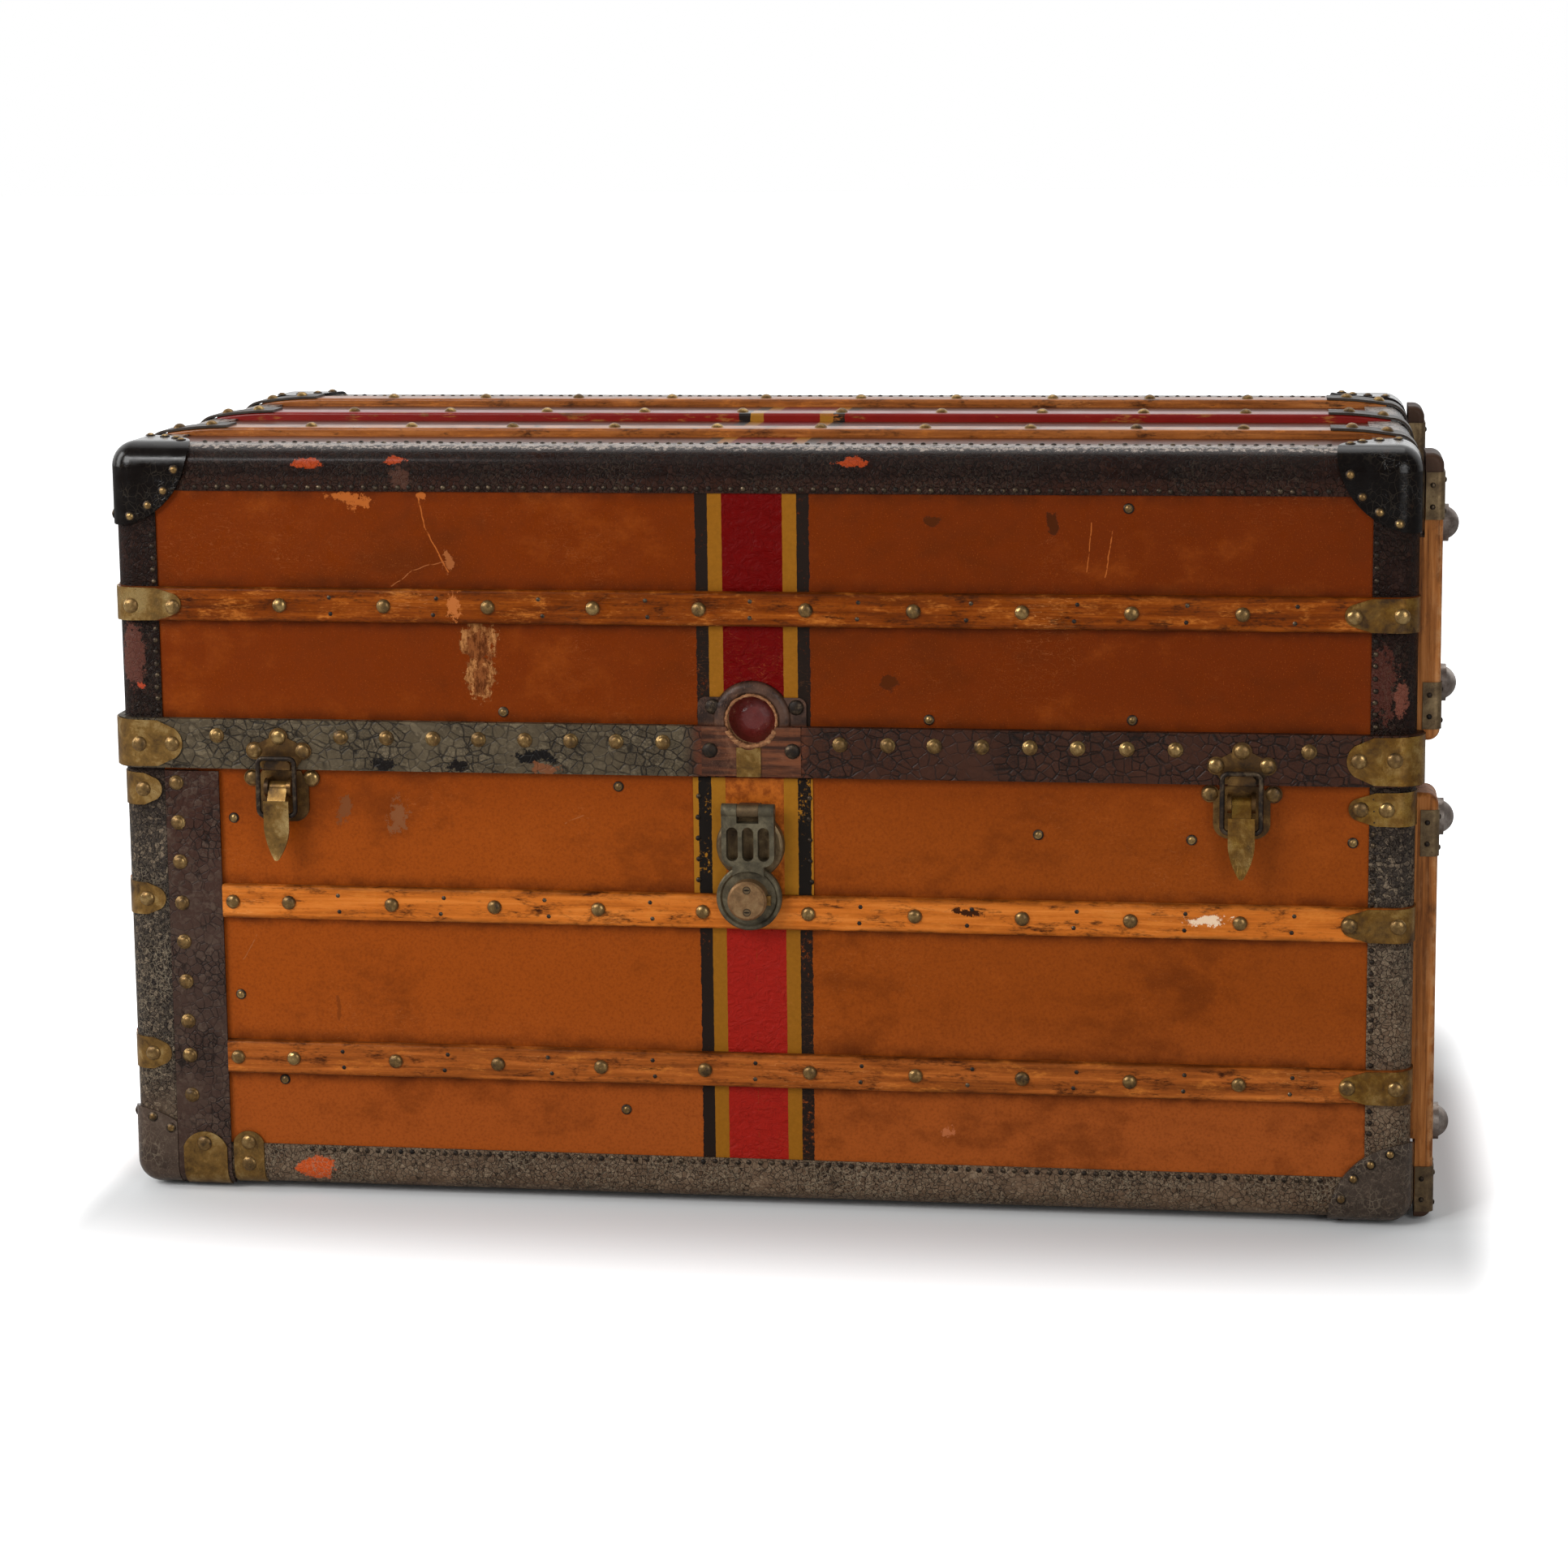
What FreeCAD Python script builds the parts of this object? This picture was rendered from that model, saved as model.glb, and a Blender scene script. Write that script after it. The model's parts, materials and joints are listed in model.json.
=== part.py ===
import FreeCAD, Part
import os

# Travel trunk lying on its long side: a lid with a valance over a body whose left end is a hinged flap.
# Millimetres. While it is drawn, X=0 and Y=0 are the middle of the trunk, Z=0 is the underside of the
# edge binding and the front is -Y. Every piece is moved to the stored origin when it is written.

# Carcass
length = 1100.0
depth = 530.0
height = 648.0
wall = 9.0
canvas = 1.0
lining = 1.0
binding = 1.5
binding_width = 38.0
edge_round = 18.0
seam_z = 379.0
seam_gap = 0.8

# End flap on the left of the body
flap_return = 68.0
flap_drop = 11.0
flap_gap = 0.6

# Slats, runners and end battens
slat_width = 29.0
slat_thick = 7.5
slat_round = 2.5
slat_gap = 1.0
lower_slat_rise = 117.0
upper_slat_drop = 124.2
lid_slat_raise = 1.2
top_slat_inset = 118.5
top_slat_taper = 72.0
top_slat_end = 3.0
end_slat_inset = 30.0
runner_from_seam = 8.0
runner_short = 22.0
batten_width = 50.0
batten_inset = 50.0
batten_proud = 19.0
batten_round = 5.0
batten_foot = 3.0
batten_under_seam = 18.0
batten_over_seam = 26.0
batten_margin = 5.0
plate_sheet = 1.2
plate_height = 39.0
body_plate_inset = (6.0, 14.0)
lid_plate_inset = (10.0, 15.4)

# Domed steel glides on the battens
glide_flange_r = 15.5
glide_flange = 5.0
glide_dome_r = 13.0
glide_dome = 8.6
body_glide_inset = (78.0, 24.0)
lid_glide_share = (0.19, 0.75)

# Corner caps, brass clamps and the fibre straps on top
cap_sheet = 3.0
cap_radius = 68.0
cap_clear = 1.0
clamp_sheet = 1.2
clamp_reach = 60.0
clamp_gap = 3.0
clamp_neck = 22.0
short_clamp_gap = 3.5
rim_clamp_drop = 27.5
rim_clamp_short = 5.0
fibre_sheet = 2.0
fibre_over = 1.0
fibre_drop = 42.0
fibre_gap = 0.3
rivet_r = 5.5
rivet_rise = 3.5
rivet_inset = 144.5
rivet_count = 10
strap_rivet_inset = (54.0, 24.5)

# Valance round the lid's mouth
valance_drop = 7.7
valance_rise = 35.1
valance_thick = 7.5
valance_clear = 0.6
valance_cap_over = 3.0
valance_cap_margin = 0.75

# Leather strip that closes the flap's front seam
strip_width = 47.5
strip_over = 18.5
strip_thick = 4.0
strip_clear = 0.4
strip_fold = 11.0
strip_cap_inset = 5.0
strip_cap_width = 39.0
strip_cap_height = 48.0
seam_clamp_gap = 2.0
seam_clamp_width = 27.0
seam_clamp_height = 49.0

# Butt hinges
hinge_barrel_r = 5.0
hinge_pin_r = 2.5
hinge_leaf = 2.5
hinge_leaf_reach = 44.0
hinge_width = 60.0
hinge_out = 5.0
lid_hinge_inset = 220.0
flap_hinge_margin = 3.0
flap_hinge_drop = 27.0
flap_leaf_gap = 1.0
knuckle_gap = 0.4
run_clear = 0.05

# Draw latches
latch_inset = 142.0
pivot_d = 10.0
pivot_drop = 15.0
latch_pin_r = 2.0
ear_inner = 8.2
ear_sheet = 3.5
ear_r = 8.0
base_sheet = 2.0
base_gap = 2.0
base_half = 23.5
base_foot_half = 12.5
base_top_half = 17.0
base_shoulder = 13.0
base_waist = 19.0
base_foot = 12.0
base_lobe_r = 7.2
base_lobe_out = 26.0
base_lobe_drop = 6.5
lever_clear = 0.35
lever_reach = 38.0
lever_hub_r = 5.5
lug_r = 4.2
leaf_half = 11.0
leaf_sheet = 2.5
leaf_proud = 2.0
leaf_drop = 10.0
leaf_point = 27.0
leaf_curl = 3.5
bail_drop = 23.0
bail_hook = 11.5
bail_wire_r = 2.1
bail_bend = 5.0
bail_clear = 0.9
bail_side_clear = 2.8
keeper_sheet = 1.5
keeper_rise = 1.0
keeper_half = 21.0
keeper_foot_half = 15.0
keeper_high = 27.0
keeper_lobe_r = 7.6
keeper_top_lobe_r = 8.2
catch_out = 6.5
catch_half = 11.5
catch_high = 11.0
catch_side = 4.5

# Hasp lock
hasp_x = -2.0
hasp_d = 16.0
hasp_drop = 27.0
hasp_half = 22.3
hasp_thick = 9.0
hasp_leaf = 47.0
hasp_corner = 9.0
hasp_knuckle_r = 6.0
hasp_pin_r = 2.5
mount_knuckle_r = 5.6
mount_knuckle_half = 9.1
knuckle_side_gap = 0.3
slot_half = 4.9
slot_pitch = 13.3
slot_foot = 4.5
slot_head = 13.5
dish_r = 27.7
dish_rim = 5.0
boss_r = 16.6
boss_tip = 30.0
boss_edge = 1.8
boss_clear = 4.9
mount_r = 29.0
mount_drop = 32.0
mount_face = 9.0
mount_edge = 3.4
patch_half = 51.0
patch_sheet = 1.2
patch_gap = 0.3
arch_half = 46.0
arch_rise = 24.0
arch_corner = 6.0
arch_neck = 27.0
arch_rim = 6.5
smooth_half = 42.0
smooth_sheet = 1.0
cup_rim = 4.5
cup_rise = 4.5
cup_sheet = 1.5
strike_half = 10.3
strike_high = 25.0
strike_sheet = 1.2
bolt_half = 4.0
bolt_thick = 5.0
bolt_out = 3.0
bolt_travel = 3.0
bolt_clear = 0.3

V = FreeCAD.Vector
X_AXIS = V(1, 0, 0)
Y_AXIS = V(0, 1, 0)
Z_AXIS = V(0, 0, 1)

half_x = length / 2
half_y = depth / 2
skin_x = half_x - binding
skin_y = half_y - binding
wood_x = skin_x - canvas
wood_y = skin_y - canvas
wood_low = binding + canvas
wood_high = height - binding - canvas
skin_high = height - binding
body_top = seam_z - seam_gap / 2
lid_low = seam_z + seam_gap / 2
seam_x = -half_x + flap_return
flap_top = seam_z - flap_drop
hinge_y = half_y + hinge_out
lid_hinge_x = (-half_x + lid_hinge_inset, 0.0, half_x - lid_hinge_inset)
valance_low = seam_z - valance_drop
valance_high = seam_z + valance_rise
body_slat_z = (lower_slat_rise, seam_z - upper_slat_drop)
lid_slat_z = (valance_high + height - binding_width) / 2 + lid_slat_raise
top_slat_y = (-half_y + top_slat_inset, 0.0, half_y - top_slat_inset)
rim_clamp_z = seam_z - rim_clamp_drop
batten_y = half_y - batten_inset
clamp_wrap = skin_y - batten_y - batten_width / 2 - clamp_gap
body_batten_low = -batten_foot
body_batten_high = seam_z - batten_under_seam
lid_batten_low = seam_z + batten_over_seam
lid_batten_high = height - batten_margin
batten_rebate = cap_radius + cap_clear
body_glide_z = (body_batten_low + body_glide_inset[0], body_batten_high - body_glide_inset[1])
lid_glide_z = [lid_batten_low + share * (lid_batten_high - lid_batten_low) for share in lid_glide_share]
strip_left = seam_x + strip_over - strip_width
strip_right = seam_x + strip_over
slat_left = strip_right + slat_gap
short_clamp_reach = half_x + strip_left - short_clamp_gap
flap_leaf_reach = strip_width - strip_over - flap_leaf_gap
flap_hinge_z = (
    binding_width + hinge_width / 2 + flap_hinge_margin,
    flap_top - hinge_width / 2 - flap_hinge_drop,
)
latch_x = half_x - latch_inset
pivot_z = valance_low - pivot_drop
bail_z = pivot_z - bail_drop
bail_top = valance_low + bail_hook
bail_d = valance_thick + keeper_sheet + catch_out + bail_wire_r + bail_clear
bail_half = leaf_half + bail_side_clear + bail_wire_r
ear_outer = ear_inner + ear_sheet
lever_tip_z = bail_z - lever_reach
hasp_z = valance_low - hasp_drop
hasp_low = hasp_z - hasp_leaf
dish_z = hasp_low - dish_r
mount_z = hasp_z - mount_drop
recess_r = boss_r + boss_clear
recess_z = 2 * hasp_z - dish_z
far = 2 * (length + depth + height)


def block(x0, x1, y0, y1, z0, z1):
    return Part.makeBox(x1 - x0, y1 - y0, z1 - z0, V(x0, y0, z0))


def face_y(out):
    """Y of a point that stands out from the front canvas by the given amount."""
    return -skin_y - out


def front_block(x0, x1, d0, d1, z0, z1):
    return block(x0, x1, face_y(d1), face_y(d0), z0, z1)


def along(edge, axis):
    if edge.Curve.TypeId != "Part::GeomLine":
        return False
    direction = edge.Vertexes[1].Point.sub(edge.Vertexes[0].Point).normalize()
    return abs(direction.dot(axis)) > 0.999


def rounded(shape, radius, wanted):
    edges = [edge for edge in shape.Edges if wanted(edge)]
    return shape.makeFillet(radius, edges)


def form(out):
    """The closed trunk as a block with round edges, a given distance out from the canvas."""
    grow = out - binding
    box = block(-half_x - grow, half_x + grow, -half_y - grow, half_y + grow, -grow, height + grow)
    return box.makeFillet(edge_round + grow, box.Edges)


def front_form(out, end_out):
    """Block with round upright corners, out from the front canvas and from the ends of the binding."""
    y0 = face_y(out)
    box = block(-half_x - end_out, half_x + end_out, y0, 0.0, -height, 2 * height)

    def front_corner(edge):
        return along(edge, Z_AXIS) and edge.Vertexes[0].Point.y < y0 / 2

    return rounded(box, edge_round + end_out, front_corner)


def flip_x(shape):
    return shape.mirror(V(0, 0, 0), X_AXIS)


def flip_y(shape):
    return shape.mirror(V(0, 0, 0), Y_AXIS)


def moved(shape, dx, dy, dz):
    copy = shape.copy()
    copy.translate(V(dx, dy, dz))
    return copy


def prism(points, direction):
    """Prism of a closed outline. A point with a mark on it is the middle of an arc."""
    edges = []
    count = len(points)
    index = 0
    while index < count:
        here = points[index][0]
        step = points[(index + 1) % count]
        if step[1]:
            end = points[(index + 2) % count][0]
            edges.append(Part.Arc(here, step[0], end).toShape())
            index += 2
        else:
            edges.append(Part.makeLine(here, step[0]))
            index += 1
    return Part.Face(Part.Wire(edges)).extrude(direction)


def front_outline(points, d0, d1):
    """Plate on the front face from an outline of (x, z) corners; a third value marks an arc's middle."""
    corners = [(V(p[0], face_y(d0), p[1]), len(p) > 2) for p in points]
    return prism(corners, V(0, -(d1 - d0), 0))


def side_outline(points, x0, x1):
    """Prism along X from an outline of (out, z) corners in front of the canvas."""
    corners = [(V(x0, face_y(p[0]), p[1]), len(p) > 2) for p in points]
    return prism(corners, V(x1 - x0, 0, 0))


def deep_outline(points, y0, y1):
    """Prism along Y from an outline of (x, z) corners."""
    corners = [(V(p[0], y0, p[1]), len(p) > 2) for p in points]
    return prism(corners, V(0, y1 - y0, 0))


def front_disc(x, z, radius, d0, d1):
    return Part.makeCylinder(radius, d1 - d0, V(x, face_y(d0), z), V(0, -1, 0))


def cross_rod(x0, x1, d, z, radius):
    return Part.makeCylinder(radius, x1 - x0, V(x0, face_y(d), z), X_AXIS)


def front_revolve(points, x, z):
    """Turned piece on the front face from an outline of (radius, out) corners."""
    corners = [V(x + p[0], face_y(p[1]), z) for p in points]
    face = Part.Face(Part.makePolygon(corners + corners[:1]))
    return face.revolve(V(x, face_y(0), z), Y_AXIS, 360)


def union(shapes):
    return shapes[0].multiFuse(shapes[1:]).removeSplitter()


# Layers of the closed trunk, one inside the other
wood_form = form(-canvas)
skin_form = form(0.0)
bound_form = form(binding)
canvas_shell = skin_form.cut(wood_form)
cap_shell = form(binding + cap_sheet).cut(bound_form)

# Regions that belong to the flap, the lid and the body
flap_zone = block(-far, seam_x - flap_gap, -far, far, -far, flap_top)
flap_clearance = block(-far, seam_x, -far, far, -far, flap_top + flap_gap)
lid_zone = block(-far, far, -far, far, lid_low, far)
body_zone = block(-far, far, -far, far, -far, body_top).cut(flap_clearance)


def edge_frame():
    """Binding along all twelve edges of the closed trunk."""
    open_x = half_x - binding_width
    open_y = half_y - binding_width
    low = binding_width
    high = height - binding_width
    windows = [
        block(-open_x, open_x, -far, far, low, high),
        block(-far, far, -open_y, open_y, low, high),
        block(-open_x, open_x, -open_y, open_y, -far, far),
    ]
    return bound_form.cut(skin_form).cut(windows[0]).cut(windows[1]).cut(windows[2])


frame = edge_frame()


def corner_cap(sx, sy, at_top):
    z = height if at_top else 0.0
    ball = Part.makeSphere(cap_radius, V(sx * half_x, sy * half_y, z))
    return cap_shell.common(ball)


lid_caps = [corner_cap(sx, sy, True) for sx in (-1, 1) for sy in (-1, 1)]
low_caps = [corner_cap(sx, sy, False) for sx in (-1, 1) for sy in (-1, 1)]
all_caps = Part.makeCompound(lid_caps + low_caps)


def walls(x0, x1, sides, z0, z1, inner, outer):
    """Upright layers of a shell, between two offsets from the middle of the trunk."""
    layers = []
    ix, iy = inner
    ox, oy = outer
    right = min(x1, ix)
    left = max(x0, -ix)
    if "front" in sides:
        layers.append(block(left, right, -oy, -iy, z0, z1))
    if "back" in sides:
        layers.append(block(left, right, iy, oy, z0, z1))
    if "right" in sides:
        layers.append(block(ix, ox, -oy, oy, z0, z1))
    if "left" in sides:
        layers.append(block(-ox, -ix, -oy, oy, z0, z1))
    return layers


def boards(shapes):
    """Boards with their outer edges rounded off under the canvas."""
    return [shape.common(wood_form) for shape in shapes]


wood_inner = (wood_x - wall, wood_y - wall)
wood_outer = (wood_x, wood_y)
lining_inner = (wood_x - wall - lining, wood_y - wall - lining)
slat_form = front_form(slat_thick, 0.0)


def front_slat(x0, x1, z):
    """Rounded slat on the front canvas, let over the edge binding and bent in at the upright edges."""
    bar = front_block(x0, x1, -edge_round, slat_thick, z - slat_width / 2, z + slat_width / 2)
    front = face_y(slat_thick)

    def outer_edge(edge):
        return along(edge, X_AXIS) and abs(edge.Vertexes[0].Point.y - front) < 0.01

    bar = rounded(bar, slat_round, outer_edge).common(slat_form)
    return bar.cut(skin_form).cut(frame).cut(all_caps)


def end_slat(z):
    """Slat across the left end, short of the corners."""
    reach = half_y - end_slat_inset
    low = z - slat_width / 2
    bar = block(-skin_x - slat_thick, -skin_x, -reach, reach, low, low + slat_width)

    def outer_edge(edge):
        return along(edge, Y_AXIS) and abs(edge.Vertexes[0].Point.x + skin_x + slat_thick) < 0.01

    return rounded(bar, slat_round, outer_edge).cut(frame).cut(all_caps)


def runner(x0, x1, y):
    """Slat under the body that it stands on."""
    foot = binding - slat_thick
    bar = block(x0, x1, y - slat_width / 2, y + slat_width / 2, foot, binding)

    def outer_edge(edge):
        return along(edge, X_AXIS) and abs(edge.Vertexes[0].Point.z - foot) < 0.01

    return rounded(bar, slat_round, outer_edge).cut(frame)


taper_from = half_x - top_slat_taper
taper_to = half_x - edge_round
slat_top = skin_high + slat_thick
slat_tip = skin_high + top_slat_end


def taper_drop(x):
    """How far a top slat has thinned at a point between the start of its taper and its end."""
    share = (x - taper_from) / (taper_to - taper_from)
    return (slat_top - slat_tip) * share * share


def taper_arc(out):
    """Start, middle and end of the curve along the top of a tapering slat, raised by a given amount."""
    middle = (taper_from + taper_to) / 2
    return [
        (taper_from, slat_top + out),
        (middle, slat_top - taper_drop(middle) + out, "arc"),
        (taper_to, slat_tip + out),
    ]


def top_slat(y):
    """Slat on the lid's top whose ends thin out towards the edges."""
    right = taper_arc(0.0)
    left = [(-p[0],) + p[1:] for p in reversed(right)]
    outline = [(-taper_to, skin_high)] + left + right + [(taper_to, skin_high)]
    bar = deep_outline(outline, y - slat_width / 2, y + slat_width / 2)

    def top_edge(edge):
        ends = [vertex.Point for vertex in edge.Vertexes]
        level = min(point.z for point in ends) > skin_high + 0.01
        return level and abs(ends[0].y - ends[1].y) < 0.01

    return rounded(bar, slat_round, top_edge).cut(frame)


def top_strap(y):
    """Dark fibre strap along the thin end of a top slat, over the round edge and down the end."""
    half = slat_width / 2 + fibre_over
    centre_x = half_x - edge_round
    centre_z = height - edge_round
    inner_r = edge_round + fibre_gap
    slant = 0.5 ** 0.5 * (inner_r + top_slat_end / 4)
    slant_out = slant + 0.5 ** 0.5 * fibre_sheet
    low = height - fibre_drop
    outline = taper_arc(0.0)
    outline += [
        (centre_x + slant, centre_z + slant, "arc"),
        (centre_x + inner_r, centre_z),
        (centre_x + inner_r, low),
        (centre_x + inner_r + fibre_sheet, low),
        (centre_x + inner_r + fibre_sheet, centre_z),
        (centre_x + slant_out, centre_z + slant_out, "arc"),
    ]
    outline += list(reversed(taper_arc(fibre_sheet)))
    return deep_outline(outline, y - half, y + half)


def dome(x, y, z, lean):
    """Round rivet head on a slope that falls by the given share of its run."""
    ball_r = (rivet_r ** 2 + rivet_rise ** 2) / (2 * rivet_rise)
    ball = Part.makeSphere(ball_r, V(0, 0, rivet_rise - ball_r))
    head = ball.common(block(-ball_r, ball_r, -ball_r, ball_r, 0.0, rivet_rise + 1))
    turn = FreeCAD.Rotation(Z_AXIS, V(lean, 0, 1))
    head.Placement = FreeCAD.Placement(V(x, y, z), turn)
    return head


def top_rivets():
    """Rivet heads on the top slats and on the straps at their ends."""
    heads = []
    first = -half_x + rivet_inset
    rivet_pitch = -2 * first / (rivet_count - 1)
    for y in top_slat_y:
        heads += [dome(first + index * rivet_pitch, y, slat_top, 0.0) for index in range(rivet_count)]
        for inset in strap_rivet_inset:
            x = half_x - inset
            fall = 2 * taper_drop(x) / (x - taper_from)
            head = dome(x, y, slat_top - taper_drop(x) + fibre_sheet + run_clear, fall)
            heads += [head, flip_x(head)]
    return heads


def corner_clamp(z, tall, reach, seat, end_out):
    """Brass clamp at the right front corner: a tapered tongue along the front, bent round on to the end."""
    half = tall / 2
    edge_x = half_x + end_out
    tip_x = edge_x - reach
    neck = min(reach * 0.45, clamp_neck)
    outline = [
        (edge_x + 2 * clamp_sheet, z - half),
        (edge_x + 2 * clamp_sheet, z + half),
        (tip_x + neck, z + half * 0.96),
        (tip_x + neck * 0.3, z + half * 0.62),
        (tip_x, z, "arc"),
        (tip_x + neck * 0.3, z - half * 0.62),
        (tip_x + neck, z - half * 0.96),
    ]
    inner = front_form(seat, end_out)
    outer = front_form(seat + clamp_sheet, end_out + clamp_sheet)
    cutter = front_outline(outline, -clamp_wrap, seat + 2 * clamp_sheet)
    return cutter.common(outer).cut(inner).cut(all_caps)


def tongue(x0, x1, z1):
    """Deep prism of an upright plate with a round head, from below the bottom edge."""
    half = (x1 - x0) / 2
    mid = (x0 + x1) / 2
    outline = [
        (x0, -edge_round),
        (x1, -edge_round),
        (x1, z1 - half * 0.7),
        (mid, z1, "arc"),
        (x0, z1 - half * 0.7),
    ]
    return front_outline(outline, -strip_fold, 2 * edge_round)


def valance_pieces():
    """Front of the valance, and each side with its round corner."""
    back_y = half_y - edge_round
    split = half_x - edge_round
    band = form(valance_thick).common(block(-far, far, -far, back_y, valance_low, valance_high))
    rim = form(binding + valance_clear).common(block(-far, far, -far, far, -far, lid_low))
    recess = front_disc(0.0, recess_z, recess_r, -wall, 3 * valance_thick)
    band = band.cut(skin_form).cut(frame).cut(rim).cut(recess)
    front = band.common(block(-split, split, -far, 0.0, -far, far))
    right = band.common(block(split, far, -far, far, -far, far))
    return [front, right, flip_x(right)]


def batten(low, high, rebate_low, valance):
    """End batten with rounded ends, let over the corner cap and the valance."""
    outer = half_x + batten_proud
    y0 = -batten_y - batten_width / 2
    y1 = -batten_y + batten_width / 2
    bar = block(skin_x, outer, y0, y1, low, high)

    def long_edge(edge):
        return along(edge, Z_AXIS) and abs(edge.Vertexes[0].Point.x - outer) < 0.01

    def end_edge(edge):
        return along(edge, Y_AXIS) and abs(edge.Vertexes[0].Point.x - outer) < 0.01

    bar = rounded(bar, batten_round * 2, end_edge)
    bar = rounded(bar, batten_round, long_edge)
    lip = half_x + cap_sheet + cap_clear
    if rebate_low:
        notch = block(skin_x - 1, lip, y0 - 1, y1 + 1, low - 1, low + batten_rebate)
    else:
        notch = block(skin_x - 1, lip, y0 - 1, y1 + 1, high - batten_rebate, high + 1)
    bar = bar.cut(notch).cut(frame)
    for piece in valance:
        bar = bar.cut(piece)
    return bar


def batten_plate(low, glides):
    """Brass sheet bent round three sides of a batten."""
    outer = half_x + batten_proud
    y0 = -batten_y - batten_width / 2
    y1 = -batten_y + batten_width / 2
    inner_x = half_x + cap_sheet + 1.5 * cap_clear
    profile = block(
        inner_x, outer + plate_sheet, y0 - plate_sheet, y1 + plate_sheet, low, low + plate_height
    )

    def corner(edge):
        return along(edge, Z_AXIS) and edge.Vertexes[0].Point.x > outer

    profile = rounded(profile, batten_round + plate_sheet, corner)
    core = block(inner_x - 1, outer, y0, y1, low - 1, low + plate_height + 1)

    def core_corner(edge):
        return along(edge, Z_AXIS) and edge.Vertexes[0].Point.x > outer - 0.01

    plate = profile.cut(rounded(core, batten_round, core_corner))
    for glide in glides:
        plate = plate.cut(glide)
    return plate


def glide(z):
    base = half_x + batten_proud
    flange = Part.makeCylinder(glide_flange_r, glide_flange, V(base, -batten_y, z), X_AXIS)
    ball_r = (glide_dome_r ** 2 + glide_dome ** 2) / (2 * glide_dome)
    ball = Part.makeSphere(ball_r, V(base + glide_flange + glide_dome - ball_r, -batten_y, z))
    cap = ball.common(block(base + glide_flange, far, -far, far, -far, far))
    return union([flange, cap])


def butt_hinge(place_fixed, place_moving, reach):
    """Hinge along X at the origin: fixed leaf below, moving leaf above, both against Y = -hinge_out."""
    half = hinge_width / 2
    third = hinge_width / 3
    seat = -hinge_out - binding
    fixed = block(-half, half, seat, seat + hinge_leaf, -reach, -seam_gap)
    moving = block(-half, half, seat, seat + hinge_leaf, seam_gap, reach)
    room = hinge_barrel_r + knuckle_gap
    centre = third / 2
    spans = [(-half, -centre - knuckle_gap / 2), (centre + knuckle_gap / 2, half)]
    middle = (-centre + knuckle_gap / 2, centre - knuckle_gap / 2)

    def barrel(span, radius, spare):
        start = V(span[0] - spare, 0, 0)
        return Part.makeCylinder(radius, span[1] - span[0] + 2 * spare, start, X_AXIS)

    def neck(span, low, high):
        return block(span[0], span[1], seat, 0.0, low, high).cut(barrel(span, hinge_pin_r + 1, 1.0))

    fixed = fixed.cut(barrel(middle, room, knuckle_gap))
    for span in spans:
        moving = moving.cut(barrel(span, room, knuckle_gap))
        fixed = fixed.fuse(barrel(span, hinge_barrel_r, 0.0)).fuse(neck(span, -hinge_barrel_r, -seam_gap))
    moving = moving.fuse(barrel(middle, hinge_barrel_r, 0.0)).fuse(neck(middle, seam_gap, hinge_barrel_r))
    pin = barrel((-half, half), hinge_pin_r, 0.0)
    fixed = fixed.cut(pin).removeSplitter()
    moving = moving.cut(barrel((-half, half), hinge_pin_r + run_clear, 1.0)).removeSplitter()
    return place_fixed(fixed), place_moving(moving), place_fixed(pin)


def lid_hinge(x):
    def place(shape):
        return moved(shape, x, hinge_y, seam_z)

    return butt_hinge(place, place, hinge_leaf_reach)


def flap_hinge(z):
    def place(shape):
        turned = shape.copy()
        turned.rotate(V(0, 0, 0), Y_AXIS, -90)
        return moved(turned, seam_x - flap_gap / 2, hinge_y, z)

    return butt_hinge(place, place, flap_leaf_reach)


def latch_base(x):
    top = valance_low - base_gap
    mid_z = pivot_z - base_waist
    foot_z = mid_z - base_foot
    bend_x = base_half - 0.4 * (base_half - base_foot_half)
    bend_z = mid_z - 0.75 * base_foot
    plate = front_outline(
        [
            (x - base_half, top - base_shoulder),
            (x - base_half, mid_z),
            (x - bend_x, bend_z, "arc"),
            (x - base_foot_half, foot_z),
            (x + base_foot_half, foot_z),
            (x + bend_x, bend_z, "arc"),
            (x + base_half, mid_z),
            (x + base_half, top - base_shoulder),
            (x + base_top_half, top),
            (x - base_top_half, top),
        ],
        0.0,
        base_sheet,
    )
    lobe_z = top - base_lobe_drop
    lobes = [front_disc(x + side * base_lobe_out, lobe_z, base_lobe_r, 0.0, base_sheet) for side in (-1, 1)]
    shapes = [plate] + lobes
    for side in (-1, 1):
        x0 = min(x + side * ear_inner, x + side * ear_outer)
        x1 = max(x + side * ear_inner, x + side * ear_outer)
        shapes.append(cross_rod(x0, x1, pivot_d, pivot_z, ear_r))
        foot = [
            (base_sheet / 2, pivot_z - ear_r),
            (pivot_d, pivot_z - ear_r),
            (pivot_d, pivot_z + ear_r),
            (base_sheet / 2, pivot_z + ear_r),
        ]
        shapes.append(side_outline(foot, x0, x1))
    return union(shapes).cut(cross_rod(x - base_half, x + base_half, pivot_d, pivot_z, latch_pin_r))


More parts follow.
